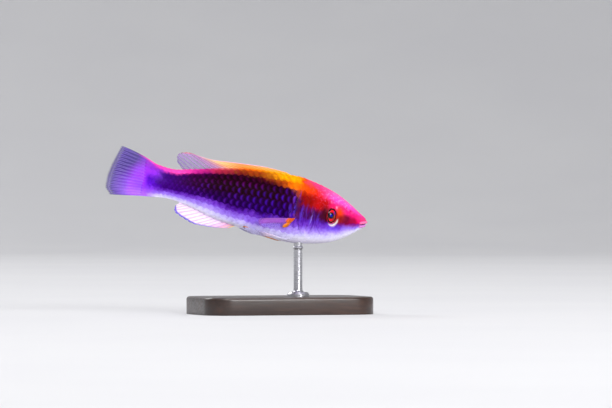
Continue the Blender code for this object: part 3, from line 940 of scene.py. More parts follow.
def makeSkinMesh():
    angles, folded, rows = skinRows()
    grid = np.array([skinPoints(place, angles, grow) for place, _, grow in rows])
    mapped = np.array([flat for _, flat, _ in rows])
    openGrid = grid[:, :-1]
    normals = surfaceNormals(openGrid)
    normals[0] = (1, 0, 0)
    headRows = skinForm["headRows"] + 1
    relief, masks = headRelief(openGrid[:headRows])
    relief[0] = relief[0].mean()
    relief[-skinForm["plainRows"]:] = 0
    moved = openGrid.copy()
    moved[:headRows] += normals[:headRows] * relief[..., None]
    # two more rings close the skin at the tail fin's root
    middle = moved[-1].mean(axis=0)
    caps = [middle + (moved[-1] - middle) * share for share in (0.5, 0.0)]
    moved = np.concatenate([moved, np.array(caps)])
    mapped = np.concatenate([mapped, mapped[-1:] + 0.05, mapped[-1:] + 0.1])
    moved = np.concatenate([moved, moved[:, :1]], axis=1)

    mesh, acrossShare, alongShare, _ = gridMesh(skinForm["columns"], len(moved) - 1)
    column = np.rint(acrossShare * skinForm["columns"]).astype(int)
    row = np.rint(alongShare * (len(moved) - 1)).astype(int)
    placeVertices(mesh, toWorld(moved[row, column]))
    flat = mapped[row, column]
    addMap(mesh, "OFBake", bakeAlong(flat), bakeAround(angles[column]))
    addMap(mesh, "formMap", flat / mapLength, folded[column] / mapTurn)
    for name, mask in masks.items():
        whole = np.zeros(moved.shape[:2])
        whole[:headRows, :-1] = mask
        whole[:, -1] = whole[:, 0]
        addValues(mesh, name, whole[row, column])
    faceOut(mesh, join=True)
    return mesh


def skinMaterial():
    made, tree, shader = newMaterial("wetSkin", {
        "Coat Weight": 0.025, "Coat Roughness": 0.12, "Specular IOR Level": 0.03,
    })
    colour = useGroup(tree, markings)["Colour"]
    for mask, share, shade in skinForm["tints"]:
        colour = blend(product(readValues(tree, mask), share), colour, paint[shade])
    plug(shader["Base Color"], colour)
    pores = noise(objectPlace(tree), 2600.0, 3.0)
    plug(shader["Roughness"], linear(pores, 0.2, 0.3))
    plug(shader["Normal"], bump(pores, 0.06 * mm, 0.5))
    return made


addPiece("skin", makeSkinMesh(), skinMaterial(), ["head", "trunk", "tail_stalk"])
print("skin made")


# Scales: plates in rows that overlap like tiles, from behind the eye to the tail base

scaleForm = {
    "rows": 11,  # on each side, from the back to the belly
    "step": 1.82,  # along a row
    "stalkShrink": 0.27,
    "shrinkZone": (42, 64),  # millimetres behind the snout
    "length": 2.1,  # of one scale, in steps
    "headLength": 0.8,  # of that, on the head
    "halfHeight": 0.66,  # in rows
    "sunk": 0.18,  # how deep its root lies under the outer surface
    "proud": 0.03,  # how far its rear edge stands over it
    "headProud": 0.012,
    "stalkFlat": 0.75,  # how much less it stands up on the tail stalk
    "flatFrom": (46, 60),  # millimetres behind the snout
    "bellyFrom": (98, 126),  # where the flat scales of the belly start, in degrees from the back
    "dome": 0.035,
    "thick": 0.035,
    "startDegrees": (0, 45, 75, 92, 104, 128, 152, 180),  # from the back
    "startAt": (12.5, 13.2, 15.0, 16.5, 22.0, 20.0, 18.0, 16.0),  # the first scale's rear tip there
    "firstTip": 12.0,
    "last": 66.2,
    "gillGap": (0.25, 0.7),  # no tip ends this near the gill cover's edge, before and behind it
    "underGill": (0.25, 0.15),  # how far behind that edge scales are held down, and how deep
    "alongCuts": (0.0, 0.42, 0.76, 1.0),
    "acrossCuts": (-1.0, -0.78, -0.42, 0.0, 0.42, 0.78, 1.0),
    "patch": 0.003,  # of the bake map that one scale takes
    "jitter": {"tip": 0.06, "degrees": 0.5, "length": 0.03, "proud": 0.015},
    "sharpFrom": 35,
    "seed": 11,
}


def rowEdges():
    # in degrees from the back, so that the rows are equally tall on the flank
    angles = np.radians(np.arange(0, 180.5, 0.5))
    ring = skinPoints(np.full(len(angles), 30.0), angles)
    run = np.concatenate([[0], np.cumsum(np.linalg.norm(np.diff(ring, axis=0), axis=1))])
    return np.degrees(np.interp(np.linspace(0, run[-1], scaleForm["rows"] + 1), run, angles))


def scaleTemplate():
    # one rounded plate from a small slab; its rear edge is an arc
    alongCuts, acrossCuts = scaleForm["alongCuts"], scaleForm["acrossCuts"]
    mesh, across, along, level = gridMesh(len(acrossCuts) - 1, len(alongCuts) - 1, thick=True)
    b = np.array(acrossCuts)[np.rint(across * (len(acrossCuts) - 1)).astype(int)]
    u = np.array(alongCuts)[np.rint(along * (len(alongCuts) - 1)).astype(int)]
    faces = np.array([list(face.vertices) for face in mesh.polygons])
    bpy.data.meshes.remove(mesh)
    arc = np.sqrt(1 - (0.94 * b) ** 2)
    rear = 0.42 + 0.58 * arc
    fore = 0.3 * (1 - arc)
    return u, b, fore + (rear - fore) * u, np.rint(level), faces


def scalePlaces(rng):
    # of every scale: rear tip, degrees from the back, half height in degrees, if it is on the head, size
    found = []
    edges = rowEdges()
    startAt = smoothLine(list(zip(scaleForm["startDegrees"], scaleForm["startAt"])))
    jitter = scaleForm["jitter"]
    before, behind = scaleForm["gillGap"]
    for row, (above, under) in enumerate(zip(edges, edges[1:])):
        degrees = (above + under) / 2
        half = (under - above) * scaleForm["halfHeight"]
        tip = scaleForm["firstTip"] + (row % 2) * scaleForm["step"] / 2
        edge = float(gillEdgeAt(degrees))
        while tip < scaleForm["last"]:
            shrink = 1 - scaleForm["stalkShrink"] * float(easeStep(tip, *scaleForm["shrinkZone"]))
            onHead = tip < edge - before
            if tip > startAt(degrees) and (onHead or tip > edge + behind):
                movedTip = tip + rng.uniform(-jitter["tip"], jitter["tip"])
                movedDegrees = degrees + rng.uniform(-jitter["degrees"], jitter["degrees"])
                found.append((movedTip, movedDegrees, half, onHead, shrink))
            tip += scaleForm["step"] * shrink
    return np.array(found)


def scaleHeight(s, along, b, level, tip, degrees, turned, onHead, rng):
    # how high each vertex lies over the body's outer surface; scales lie flatter on the belly and the stalk
    jitter = scaleForm["jitter"]["proud"]
    sunk = scaleForm["sunk"]
    edge = gillEdgeAt(turned)
    tuck = fishForm["gillRim"] * easeStep(s / edge, 0.9, 0.97) * flapShare(degrees)
    flat = easeStep(degrees, *scaleForm["bellyFrom"])
    proud = np.where(onHead, scaleForm["headProud"], scaleForm["proud"])
    proud = proud + rng.uniform(-jitter, jitter, tip.shape)
    onStalk = easeStep(tip, *scaleForm["flatFrom"])
    proud = proud * (1 - flat) * (1 - scaleForm["stalkFlat"] * onStalk) - 0.005 * flat
    height = -sunk + (sunk + proud) * along - scaleForm["dome"] * (1 - 0.7 * flat) * b ** 2
    height = height + np.where(onHead, tuck, 0) + scaleForm["thick"] * (level - 0.5)
    reach, depth = scaleForm["underGill"]
    behindGill = ~onHead & (s < edge + reach)
    return np.where(behindGill, np.minimum(height, -depth), height)


def makeScales(name, side, material):
    rng = np.random.default_rng(scaleForm["seed"] + side)
    places = scalePlaces(rng)
    u, b, along, level, faces = scaleTemplate()
    tip, degrees, half, onHead, shrink = (places[:, k, None] for k in range(5))
    onHead = onHead > 0
    spread = scaleForm["jitter"]["length"]
    length = scaleForm["step"] * scaleForm["length"] * shrink * rng.uniform(1 - spread, 1 + spread, tip.shape)
    length = length * np.where(onHead, scaleForm["headLength"], 1)
    s = tip - length * (1 - along)
    turned = degrees + half * b
    height = scaleHeight(s, along, b, level, tip, degrees, turned, onHead, rng)
    points = toWorld(skinPoints(s, np.radians(turned) * side, height))
    order = faces + (np.arange(len(places)) * len(u))[:, None, None]
    mesh = bpy.data.meshes.new(name)
    mesh.from_pydata(points.reshape(-1, 3).tolist(), [], order[..., ::side].reshape(-1, 4).tolist())
    mesh.update()
    # a scale takes a small patch of its own on the bake map, and its colours vary less than the skin's below
    # it
    around = np.radians(degrees) if side > 0 else 2 * math.pi - np.radians(degrees)
    patch = scaleForm["patch"]
    addMap(mesh, "OFBake", bakeAlong(tip - length) + patch * (u - 0.5), bakeAround(around) + patch * b / 2)
    ownS = 0.65 * s + 0.35 * (tip - 0.25 * length)
    ownD = 0.65 * turned + 0.35 * degrees
    addMap(mesh, "formMap", ownS / mapLength, ownD / mapTurn)
    addMap(mesh, "scaleMap", u + 0 * s, (b + 1) / 2)
    addValues(mesh, "tint", np.repeat(rng.random(len(places)), len(u)))
    faceOut(mesh)
    addPiece(name, mesh, material, sharpFrom=scaleForm["sharpFrom"])


def scaleMaterial():
    made, tree, shader = newMaterial("pearlScale", {"Specular IOR Level": 0.01})
    marks = useGroup(tree, markings)
    u, v = splitMap(tree, "scaleMap")
    tint = readValues(tree, "tint")
    off = calc("ABSOLUTE", linear(v, 2.0, -1.0))
    # an arc near the rear edge, faded towards its ends
    curved = linear(calc("POWER", off, 2.0), -0.03, 0.79)
    arc = fading(squareOff(u, curved, 0.08))
    arc = product(arc, ease(off, 0.2, 0.85, 1.0, 0.0), ease(tint, 0.0, 0.9, 0.25, 1.0), marks["Dash"])
    # painted shade darkens the front of each scale, where the scale before it lies over it
    paintedOverlapShade = product(ease(u, 0.5, 0.68, 1.0, 0.0), 0.8, marks["Rim"])
    colour = blend(paintedOverlapShade, marks["Colour"], marks["Edge"])
    rear = product(ease(u, 0.88, 0.98), 0.7, marks["Rim"])
    colour = shaded(blend(rear, colour, marks["Edge"]), tint, 0.12, 0.94)
    plug(shader["Base Color"], blend(arc, colour, marks["Dash Colour"]))
    rings = calc("SINE", product(u, 70.0))
    plug(shader["Normal"], bump(rings, 0.006 * mm, 0.2))
    grain = noise(objectPlace(tree), 2200.0)
    plug(shader["Roughness"], ease(grain, 0.3, 0.7, 0.34, 0.48))
    return made


scalePaint = scaleMaterial()
makeScales("scalesLeft", 1, scalePaint)
makeScales("scalesRight", -1, scalePaint)
print("scales laid")


# Eyes

irisSpots = [  # forward and up from the ball's middle, half size, strength, colour
    ((-0.38, 1.3), (0.75, 0.55), 1.0, "irisRed"), ((-0.4, -1.25), (0.75, 0.5), 1.0, "irisRed"),
    # the royal violet spot at the front of the iris is a painted highlight
    ((0.55, -0.1), (0.2, 0.6), 1.0, "rust"), ((0.5, 0.95), (0.3, 0.5), 0.8, "royalViolet"),
]


def makeEye(name, side, material):
    bm = bmesh.new()
    bmesh.ops.create_uvsphere(bm, u_segments=64, v_segments=40, radius=1)
    mesh = finishMesh(name, bm)
    radius = eyeForm["radius"]
    x, y, z = (readVertices(mesh) * (radius, radius, eyeForm["halfDepth"])).T
    fromPupil = np.hypot(x + eyeForm["pupilBack"], y) / (eyeForm["pupil"] * 1.15)
    z = z + eyeForm["bulge"] * (z > 0) * np.clip(1 - fromPupil ** 2, 0, None)
    place, normal, forward, upward = eyeAxes(side)
    centre = place - normal * eyeForm["sunk"]
    points = centre + x[:, None] * forward + y[:, None] * upward + z[:, None] * normal
    placeVertices(mesh, toWorld(points))
    addMap(mesh, "eyeMap", x / radius / 2 + 0.5, y / radius / 2 + 0.5)
    faceOut(mesh, join=True)
    addPiece(name, mesh, material, [f"eye_{name[3:].lower()}"])


def eyeMaterial():
    made, tree, shader = newMaterial("eyeball", {
        "Roughness": 0.15, "Coat Weight": 0.25, "Coat Roughness": 0.03, "Specular IOR Level": 0.15,
    })
    width = 2 * eyeForm["radius"]
    x, y = (linear(value, width, -width / 2) for value in splitMap(tree, "eyeMap"))
    alongPupil = calc("ADD", x, eyeForm["pupilBack"])
    fromPupil = distance(alongPupil, calc("DIVIDE", y, eyeForm["pupilTall"]))
    long, tall = eyeForm["ring"]
    alongRing = calc("DIVIDE", calc("ADD", x, eyeForm["ringBack"]), long)
    ring = distance(alongRing, calc("DIVIDE", y, tall))
    iris = paint["irisDark"]
    for middle, half, share, shade in irisSpots:
        iris = blend(product(blob(x, y, middle, half), share), iris, paint[shade])
    fibrePlace = joinAxes(calc("ARCTAN2", y, x), product(fromPupil, 0.4))
    fibres = noise(fibrePlace, 9.0, 3.0)
    iris = blend(ease(fibres, 0.4, 0.7, 0.0, 0.15), iris, paint["eyeDark"])
    # the blue middle of the pupil is a painted glint
    pupil = ramp(fromPupil, [
        (0.0, "pupilGlintBlue"), (0.16, "pupilGlintBlue"), (0.44, "pupilDark"), (0.56, "eyeDark"),
    ])
    pupilEnd = ease(fromPupil, eyeForm["pupil"] - 0.05, eyeForm["pupil"] + 0.06)
    colour = blend(pupilEnd, pupil, iris)
    colour = blend(ease(ring, 0.79, 0.87), colour, paint["eyeDark"])
    colour = blend(ease(ring, 1.03, 1.07), colour, paint["irisDark"])
    plug(shader["Base Color"], colour)
    return made


eyePaint = eyeMaterial()
makeEye("eyeLeft", 1, eyePaint)
makeEye("eyeRight", -1, eyePaint)
print("eyes set")


# Fins: thin sheets stiffened by rays that branch towards the margin

finForm = {
    "thinFrom": 0.012,  # the share of its reach over which a fin thins at the margin
    "thinTo": 0.3,  # of its thickness
    "rayFrom": 0.3,  # the reach from which the rays stand out in full
    "narrowing": 0.45,  # of a ray, from root to tip
}


def between(ends, share):
    return ends[0] + (ends[1] - ends[0]) * share


def rayPattern(share, reach, form):
    # 1 on the crest of a ray; each ray splits in two, and in two again, on its way out
    q = np.abs(share * form["rays"] % 1 - 0.5)
    q = np.abs(q - form["branches"] * 0.25 * easeStep(reach, 0.3, 1.0))
    q = np.abs(q - form["branches"] * 0.12 * easeStep(reach, 0.6, 1.1))
    return hill(q, form["rayWidth"] * (1 - finForm["narrowing"] * reach))


def makeFin(name, form, place, outward, material, node):
    # place and outward are functions of the share along the base and the reach to the margin
    mesh, share, reach, level = gridMesh(form["rays"] * form["columnsPerRay"], form["rows"], thick=True)
    ray = rayPattern(share, reach, form)
    membrane = between(form["membrane"], reach)
    crest = between(form["ray"], reach)
    half = membrane + (crest - membrane) * ray * easeStep(reach, 0, finForm["rayFrom"])
    if "thicken" in form:
        half = half + form["thicken"](share, reach)
    half = half * np.clip((1 - reach) / finForm["thinFrom"], finForm["thinTo"], 1)
    out = reach * (1 - form["ragged"] * (1 - ray) * easeStep(reach, 0.8, 1.0))
    points = place(share, out) + outward(share, out) * (half * np.where(level > 0.5, 1, -1))[:, None]
    placeVertices(mesh, toWorld(points))
    addMap(mesh, "finMap", share, reach)
    addValues(mesh, "ray", ray)
    faceOut(mesh)
    addPiece(name, mesh, material, [node])


def sideways(share, reach):
    return np.stack([0 * share, 0 * share + 1, 0 * share], axis=-1)


def downward(share, reach):
    return np.stack([0 * share, 0 * share, 0 * share - 1], axis=-1)


def makeFinTint():
    # mixes membrane, rays and margin of a fin, and says how clear each is
    tree, given, result = newGroup("finTint", {
        "Membrane": "NodeSocketColor", "Rays": "NodeSocketColor", "Margin": "NodeSocketColor",
        "Clear": "NodeSocketFloat", "Ray Strength": "NodeSocketFloat", "Margin Width": "NodeSocketFloat",
    }, {"Colour": "NodeSocketColor", "Alpha": "NodeSocketFloat", "Height": "NodeSocketFloat"})
    _, reach = splitMap(tree, "finMap")
    ray = readValues(tree, "ray")
    joints = calc("SINE", product(reach, 180.0))
    mottle = noise(objectPlace(tree), 1500.0)
    colour = blend(ease(ray, 0.25, 0.8), given["Membrane"], given["Rays"])
    edge = minus(1.0, given["Margin Width"])
    onEdge = ease(reach, minus(edge, 0.05), calc("ADD", edge, 0.03))
    colour = shaded(blend(onEdge, colour, given["Margin"]), mottle, 0.3, 0.85)
    plug(result["Colour"], colour)
    solidRay = product(ease(ray, 0.2, 0.7), given["Ray Strength"])
    solid = calc("MAXIMUM", solidRay, product(onEdge, 0.6))
    alpha = minus(1.0, product(given["Clear"], minus(1.0, solid)))
    plug(result["Alpha"], alpha)
    plug(result["Height"], linear(joints, product(ray, 0.3), mottle))
    return tree


finTint = makeFinTint()


def finMaterial(name, mixColours, rayStrength=1.0):
    # mixColours takes share and reach, and gives membrane, rays, margin, clearness and margin width
    made, tree, shader = newMaterial(name, {
        "Coat Weight": 0.08, "Coat Roughness": 0.2, "Roughness": 0.4, "Specular IOR Level": 0.25,
    })
    names = ("Membrane", "Rays", "Margin", "Clear", "Margin Width")
    mixed = dict(zip(names, mixColours(*splitMap(tree, "finMap"))))
    tint = useGroup(tree, finTint, **mixed, **{"Ray Strength": rayStrength})
    plug(shader["Base Color"], tint["Colour"])
    plug(shader["Alpha"], tint["Alpha"])
    plug(shader["Normal"], bump(tint["Height"], 0.03 * mm, 0.5))
    return made


def uprightPlace(form, rootHeight):
    # between the fin's base on the body and its margin; the rays lean back as the fin is folded
    alongAt = smoothLine([(share, tip[0]) for share, tip in form["margin"]])
    upAt = smoothLine([(share, tip[1]) for share, tip in form["margin"]])

    def place(share, reach):
        s = between(form["base"], share)
        swept = 1 - (1 - share) ** form["sweep"]
        sway = form["sway"] * np.sin(share * 9.0 + 1.0) * reach ** 2
        up = rootHeight(s) * (1 - reach) + upAt(swept) * reach
        return np.stack([-(s + (alongAt(swept) - s) * reach), sway, up], axis=-1)

    return place


dorsalForm = {
    "base": (24.0, 56.3),
    "margin": [
        (0.0, (26.5, 9.75)), (0.15, (32.5, 10.05)), (0.3, (38.2, 9.8)), (0.45, (43.6, 9.45)),
        (0.6, (48.8, 9.15)), (0.72, (52.8, 9.5)), (0.82, (55.6, 9.95)), (0.9, (57.8, 9.5)),
        (0.96, (58.9, 8.3)), (1.0, (58.6, 6.6)),
    ],
    "rootDepth": 0.35,
    "sweep": 1.3, "sway": 0.25,
    "rays": 20, "columnsPerRay": 10, "rows": 26, "branches": 0.8, "rayWidth": 0.13,
    "membrane": (0.1, 0.05), "ray": (0.26, 0.09), "ragged": 0.05,
    # colours by the share along the base
    "low": [
        (0.0, "amber"), (0.3, "amber"), (0.42, "finOrange"), (0.55, "peach"), (0.68, "pinkViolet"),
        (0.8, "smokeViolet"),
    ],
    "high": [
        (0.0, "amber"), (0.15, "peach"), (0.35, "peach"), (0.52, "cream"), (0.66, "pinkViolet"),
        (0.8, "smokeViolet"),
    ],
    "rayColours": [
        (0.0, "amber"), (0.3, "orange"), (0.5, "cream"), (0.7, "pinkViolet"), (0.8, "mauve"),
        (1.0, "smokeViolet"),
    ],
    "edge": [
        (0.0, "palePink"), (0.6, "palePink"), (0.72, "dullRose"), (0.8, "dullRose"), (0.9, "smokeViolet"),
    ],
}


def dorsalColours(share, reach):
    keys = ("low", "high", "rayColours", "edge")
    low, high, rays, margin = (ramp(share, dorsalForm[key]) for key in keys)
    membrane = blend(ease(reach, 0.25, 0.75), low, high)
    clear = ease(share, 0.5, 0.85, 0.12, 0.7)
    return membrane, rays, margin, clear, ease(share, 0.76, 0.9, 0.07, -0.03)


makeFin(
    "dorsalFin", dorsalForm, uprightPlace(dorsalForm, lambda s: backOf(s) - dorsalForm["rootDepth"]),
    sideways, finMaterial("dorsalMembrane", dorsalColours, 0.6), "dorsal_fin",
)

analForm = {
    "base": (38.0, 55.3),
    "margin": [
        (0.0, (40.2, -9.1)), (0.25, (45.3, -9.7)), (0.5, (50.0, -9.8)), (0.75, (54.0, -8.7)),
        (0.92, (56.9, -6.9)), (1.0, (56.9, -5.7)),
    ],
    "rootDepth": 0.35,
    "sweep": 1.6, "sway": 0.2,
    "rays": 12, "columnsPerRay": 12, "rows": 24, "branches": 0.5, "rayWidth": 0.14,
    "membrane": (0.1, 0.05), "ray": (0.26, 0.09), "ragged": 0.04,
}


def analColours(share, reach):
    membrane = ramp(share, [(0.0, "cream"), (0.1, "palePink"), (0.25, "pinkWhite"), (0.9, "pinkWhite")])
    margin = ramp(share, [(0.0, "palePink"), (0.2, "lavender"), (0.45, "finBlue")])
    return membrane, paint["rayLilac"], margin, 0.12, 0.1


makeFin(
    "analFin", analForm, uprightPlace(analForm, lambda s: analForm["rootDepth"] - bellyOf(s)), sideways,
    finMaterial("analMembrane", analColours), "anal_fin",
)

tailForm = {
    "root": 64.0,
    "top": (76.0, 8.1), "bottom": (76.9, -6.1),  # its corners
    "reach": 78.2, "reachAt": -3.5, "round": 0.02,
    "rays": 14, "columnsPerRay": 12, "rows": 64, "branches": 1.0, "rayWidth": 0.12,
    "membrane": (0.19, 0.04), "ray": (0.34, 0.07), "ragged": 0.06,
    "bow": 0.9, "ripple": 0.045, "sway": 0.4,
    # colours of the membrane outwards, and of its root from the top down
    "upperHalf": [(0.0, "tailViolet"), (0.34, "tailViolet"), (0.52, "greyViolet"), (1.0, "greyViolet")],
    "lowerHalf": [(0.0, "tailPink"), (0.45, "tailPink"), (0.62, "violet"), (0.85, "greyViolet")],
    "rootColours": [
        (0.0, "rootPlum"), (0.15, "rootPlum"), (0.3, "rootViolet"), (0.5, "rootViolet"), (0.62, "rootBright"),
        (0.76, "rootBright"), (0.92, "rootLilac"),
    ],
}


def tailPlace(share, reach):
    root, far = tailForm["root"], tailForm["reach"]
    baseUp = backOf(root) * (1 - share) - bellyOf(root) * share
    tipUp = between((tailForm["top"][1], tailForm["bottom"][1]), share)
    rear = far - tailForm["round"] * (tipUp - tailForm["reachAt"]) ** 2
    rear = rear - (far - tailForm["bottom"][0]) * easeStep(share, 0.86, 1.0)
    # the upper rays bow, and the sheet has folds and a slow wave
    bow = tailForm["bow"] * 4 * reach * (1 - reach) * np.maximum(0, 0.5 - share)
    waves = np.sin(reach * 15 + share * 19) + 0.7 * np.sin(reach * 27 - share * 33 + 1.5)
    ripple = tailForm["ripple"] * waves * easeStep(reach, 0.25, 0.7) * np.sin(math.pi * share)
    sway = tailForm["sway"] * np.sin(share * 8.0 + reach * 3.0) * reach ** 1.5
    up = baseUp * 0.96 * (1 - reach) + tipUp * reach + bow + ripple
    return np.stack([-between((root, rear), reach), sway, up], axis=-1)


def tailColours(share, reach):
    wide = noise(objectPlace(share.id_data), 300.0)
    along = linear(wide, 0.2, minus(reach, 0.1))
    upperHalf, lowerHalf = (ramp(along, tailForm[key]) for key in ("upperHalf", "lowerHalf"))
    membrane = blend(ease(share, 0.3, 0.7), upperHalf, lowerHalf)
    root = ramp(share, tailForm["rootColours"])
    fade = calc("ADD", reach, ease(share, 0.0, 0.4, 0.26, 0.0))
    membrane = blend(ease(fade, 0.25, 0.72, 1.0, 0.0), membrane, root)
    topEdge = product(ease(share, 0.015, 0.05, 1.0, 0.0), ease(reach, 0.15, 0.6, 0.9, 0.0))
    membrane = blend(topEdge, membrane, paint["coral"])
    rays = blend(ease(reach, 0.2, 0.75, 0.04, 0.3), membrane, paint["tailRay"])
    clear = calc("ADD", ease(reach, 0.2, 0.8, 0.0, 0.06), ease(reach, 0.84, 0.97, 0.0, 0.7))
    return membrane, rays, paint["greyViolet"], clear, 0.02


makeFin(
    "tailFin", tailForm, tailPlace, sideways,
    finMaterial("tailMembrane", tailColours, 0.55), "tail_fin",
)
print("upright fins made")


def fan(form, share, reach):
    # a place on a fan whose rays run from one line to another, with its corners rounded
    reach = reach * (1 - form["round"] * np.abs(2 * share - 1) ** 3)
    start = [between(ends, share) for ends in zip(*form["base"])]
    end = [between(ends, share) for ends in zip(*form["tips"])]
    return [between(ends, reach) for ends in zip(start, end)]


def pectoralLobes(share, reach):
    # how much the fleshy, two-lobed base thickens the fin
    notch = hill(share - pectoralForm["notchAt"], pectoralForm["notchWidth"])
    rootEnd = pectoralForm["lobes"] - pectoralForm["notch"] * notch
    thick = pectoralForm["lobeThick"] * (1 - 0.4 * hill(share - 0.55, 0.1))
    return thick * (1 - easeStep(reach - rootEnd, -0.05, 0.04))


pectoralForm = {
    "base": ((22.9, -3.0), (24.6, -5.7)), "tips": ((34.3, -4.5), (32.4, -6.5)), "round": 0.12, "lift": 1.5,
    "rays": 12, "columnsPerRay": 10, "rows": 40, "branches": 0.9, "rayWidth": 0.14,
    "membrane": (0.07, 0.03), "ray": (0.17, 0.05), "ragged": 0.03,
    "sunk": 0.1, "standOff": 0.5,  # how deep it is rooted, and how far it stands out before it lifts
    # the fleshy base: how far out it reaches, the notch between its lobes, and its thickness
    "lobes": 0.21, "notch": 0.07, "notchAt": 0.52, "notchWidth": 0.13, "lobeThick": 0.5,
    "thicken": pectoralLobes,
}


def pectoralColours(share, reach):
    membrane = ramp(share, [(0.0, "streakPink"), (0.55, "streakPink"), (0.7, "lavender")])
    rays = ramp(share, [(0.0, "streakPink"), (0.55, "streakPink"), (0.7, "lilac")])
    notch = fading(squareOff(share, pectoralForm["notchAt"], pectoralForm["notchWidth"]))
    rootEnd = linear(notch, -pectoralForm["notch"], pectoralForm["lobes"])
    root = ease(minus(reach, rootEnd), -0.02, 0.03, 1.0, 0.0)
    clearRear = ease(reach, 0.75, 1.0, 0.0, 0.9)
    clear = calc("MAXIMUM", ease(share, 0.35, 0.75, 0.3, 0.93), clearRear)
    clear = product(clear, minus(1.0, root))
    orange = blend(ease(share, 0.1, 0.7), paint["deepOrange"], paint["rootOrange"])
    membrane, rays = (blend(root, colour, orange) for colour in (membrane, rays))
    return membrane, rays, paint["streakPink"], clear, 0.015


def makePectoral(name, side, material):
    def place(share, reach):
        point, normal = flankFrame(*fan(pectoralForm, share, reach), side)
        off = pectoralForm["standOff"] * easeStep(reach, 0, 0.15) - pectoralForm["sunk"]
        return point + normal * (off + pectoralForm["lift"] * reach ** 1.5)[..., None]

    def outward(share, reach):
        return flankFrame(*fan(pectoralForm, share, reach), side)[1]

    makeFin(name, pectoralForm, place, outward, material, f"pectoral_fin_{name[8:].lower()}")


pelvicForm = {
    "base": ((22.5, 2.2), (24.0, 1.0)), "tips": ((38.3, 2.8), (34.0, 1.5)), "round": 0.12, "lift": 0.6,
    "rays": 6, "columnsPerRay": 10, "rows": 40, "branches": 0.8, "rayWidth": 0.16,
    "membrane": (0.1, 0.05), "ray": (0.26, 0.08), "ragged": 0.05,
    "sunk": 0.1, "standOff": 0.35,
}


def pelvicColours(share, reach):
    membrane = ramp(reach, [(0.0, "milk"), (0.25, "milk"), (0.45, "pinkWhite"), (0.7, "paleLavender")])
    pinkEdge = product(ease(share, 0.75, 0.95), band(reach, 0.0, 0.55, 0.1))
    membrane = blend(pinkEdge, membrane, paint["peach"])
    tip = product(ease(reach, 0.94, 0.98), ease(share, 0.1, 0.3, 1.0, 0.0))
    membrane = blend(tip, membrane, paint["finOrange"])
    clear = product(ease(reach, 0.4, 0.75, 0.35, 0.88), minus(1.0, tip))
    return membrane, membrane, membrane, clear, 0.02


def makePelvic(name, side, material):
    def place(share, reach):
        s, across = fan(pelvicForm, share, reach)
        off = pelvicForm["standOff"] * easeStep(reach, 0, 0.12) - pelvicForm["sunk"]
        drop = bellyDrop(s, across) + off + pelvicForm["lift"] * reach ** 3
        return np.stack([-s, side * across, -drop], axis=-1)

    makeFin(name, pelvicForm, place, downward, material, f"pelvic_fin_{name[6:].lower()}")


pectoralPaint = finMaterial("pectoralMembrane", pectoralColours, 0.3)
pelvicPaint = finMaterial("pelvicMembrane", pelvicColours, 0.35)
for side, which in ((1, "Left"), (-1, "Right")):
    makePectoral("pectoral" + which, side, pectoralPaint)
    makePelvic("pelvic" + which, side, pelvicPaint)
print("paired fins made")


# Display stand

standForm = {
    "size": (50.0, 30.0, 5.0), "corner": 7.0, "edge": 0.8, "foot": 0.25,
    "rodAt": 19.1,  # behind the snout
    "rod": 1.25, "rodFoot": 3.2, "footHeight": 1.2, "fillet": 0.8,
    "rodEnd": 0.5,  # how far it runs into the belly
    "bead": (1.3, 1.9, 0.25),  # from and to below the rod's end, and how far it stands out
}


def bevelled(bm, edges, offset, segments):
    bmesh.ops.bevel(
        bm, geom=edges, offset=offset * mm, segments=segments, profile=0.5, affect="EDGES", material=-1,
    )


def makeBase():
    size = Vector(standForm["size"]) * mm
    bm = bmesh.new()
    bmesh.ops.create_cube(bm, size=1)
    bmesh.ops.scale(bm, verts=bm.verts[:], vec=size)
    bmesh.ops.translate(bm, verts=bm.verts[:], vec=(0, 0, size.z / 2))
    upright = [e for e in bm.edges if abs(e.verts[0].co.z - e.verts[1].co.z) > mm]
    bevelled(bm, upright, standForm["corner"], 14)
    for level, offset, segments in ((size.z, standForm["edge"], 5), (0, standForm["foot"], 3)):
        rim = [e for e in bm.edges if all(abs(v.co.z - level) < 0.001 * mm for v in e.verts)]
        bevelled(bm, rim, offset, segments)
    mesh = finishMesh("displayBase", bm)
    addPiece("displayBase", mesh, woodMaterial(), ["stand_base"], sharpFrom=40)


def makeRod():
    # a turned rod with a rounded foot and a bead under the belly
    belly = toWorld(np.array([-standForm["rodAt"], 0.0, -float(bellyOf(standForm["rodAt"]))])) / mm
    bottom, top = standForm["size"][2], belly[2] + standForm["rodEnd"]
    foot, rod, shoulder = standForm["rodFoot"], standForm["rod"], bottom + standForm["footHeight"]
    fillet = standForm["fillet"]
    profile = [(0, bottom), (foot, bottom), (foot, between((bottom, shoulder), 0.55)), (foot - 0.5, shoulder)]
    for k in range(6):
        turn = k / 5 * math.pi / 2
        profile.append((rod + fillet * (1 - math.sin(turn)), shoulder + fillet * (1 - math.cos(turn))))
    beadTop, beadEnd, proud = standForm["bead"]
    profile += [
        (rod, top - beadEnd - 0.3), (rod + proud, top - beadEnd), (rod + proud, top - beadTop - 0.3),
        (rod, top - beadTop), (rod, top), (0, top),
    ]
    mesh = turnedMesh("displayRod", [(r * mm, z * mm) for r, z in profile], 64, belly[0] * mm)
    addPiece("displayRod", mesh, steelMaterial(), ["stand_rod"], sharpFrom=35)


def woodMaterial():
    made, tree, shader = newMaterial("stainedWood", {"Coat Weight": 0.4, "Coat Roughness": 0.12})
    place = stretched(tree, (0.12, 1.0, 1.0))
    grain = noise(place, 1400.0, 4.0, 0.6)
    mix = linear(noise(place, 260.0), 0.5, product(grain, 0.5))
    stain = ramp(mix, [(0.3, "woodDark"), (0.5, "woodMid"), (0.68, "woodLight")])
    plug(shader["Base Color"], stain)
    plug(shader["Roughness"], ease(grain, 0.3, 0.7, 0.3, 0.48))
    plug(shader["Normal"], bump(grain, 0.05 * mm, 0.5))
    return made


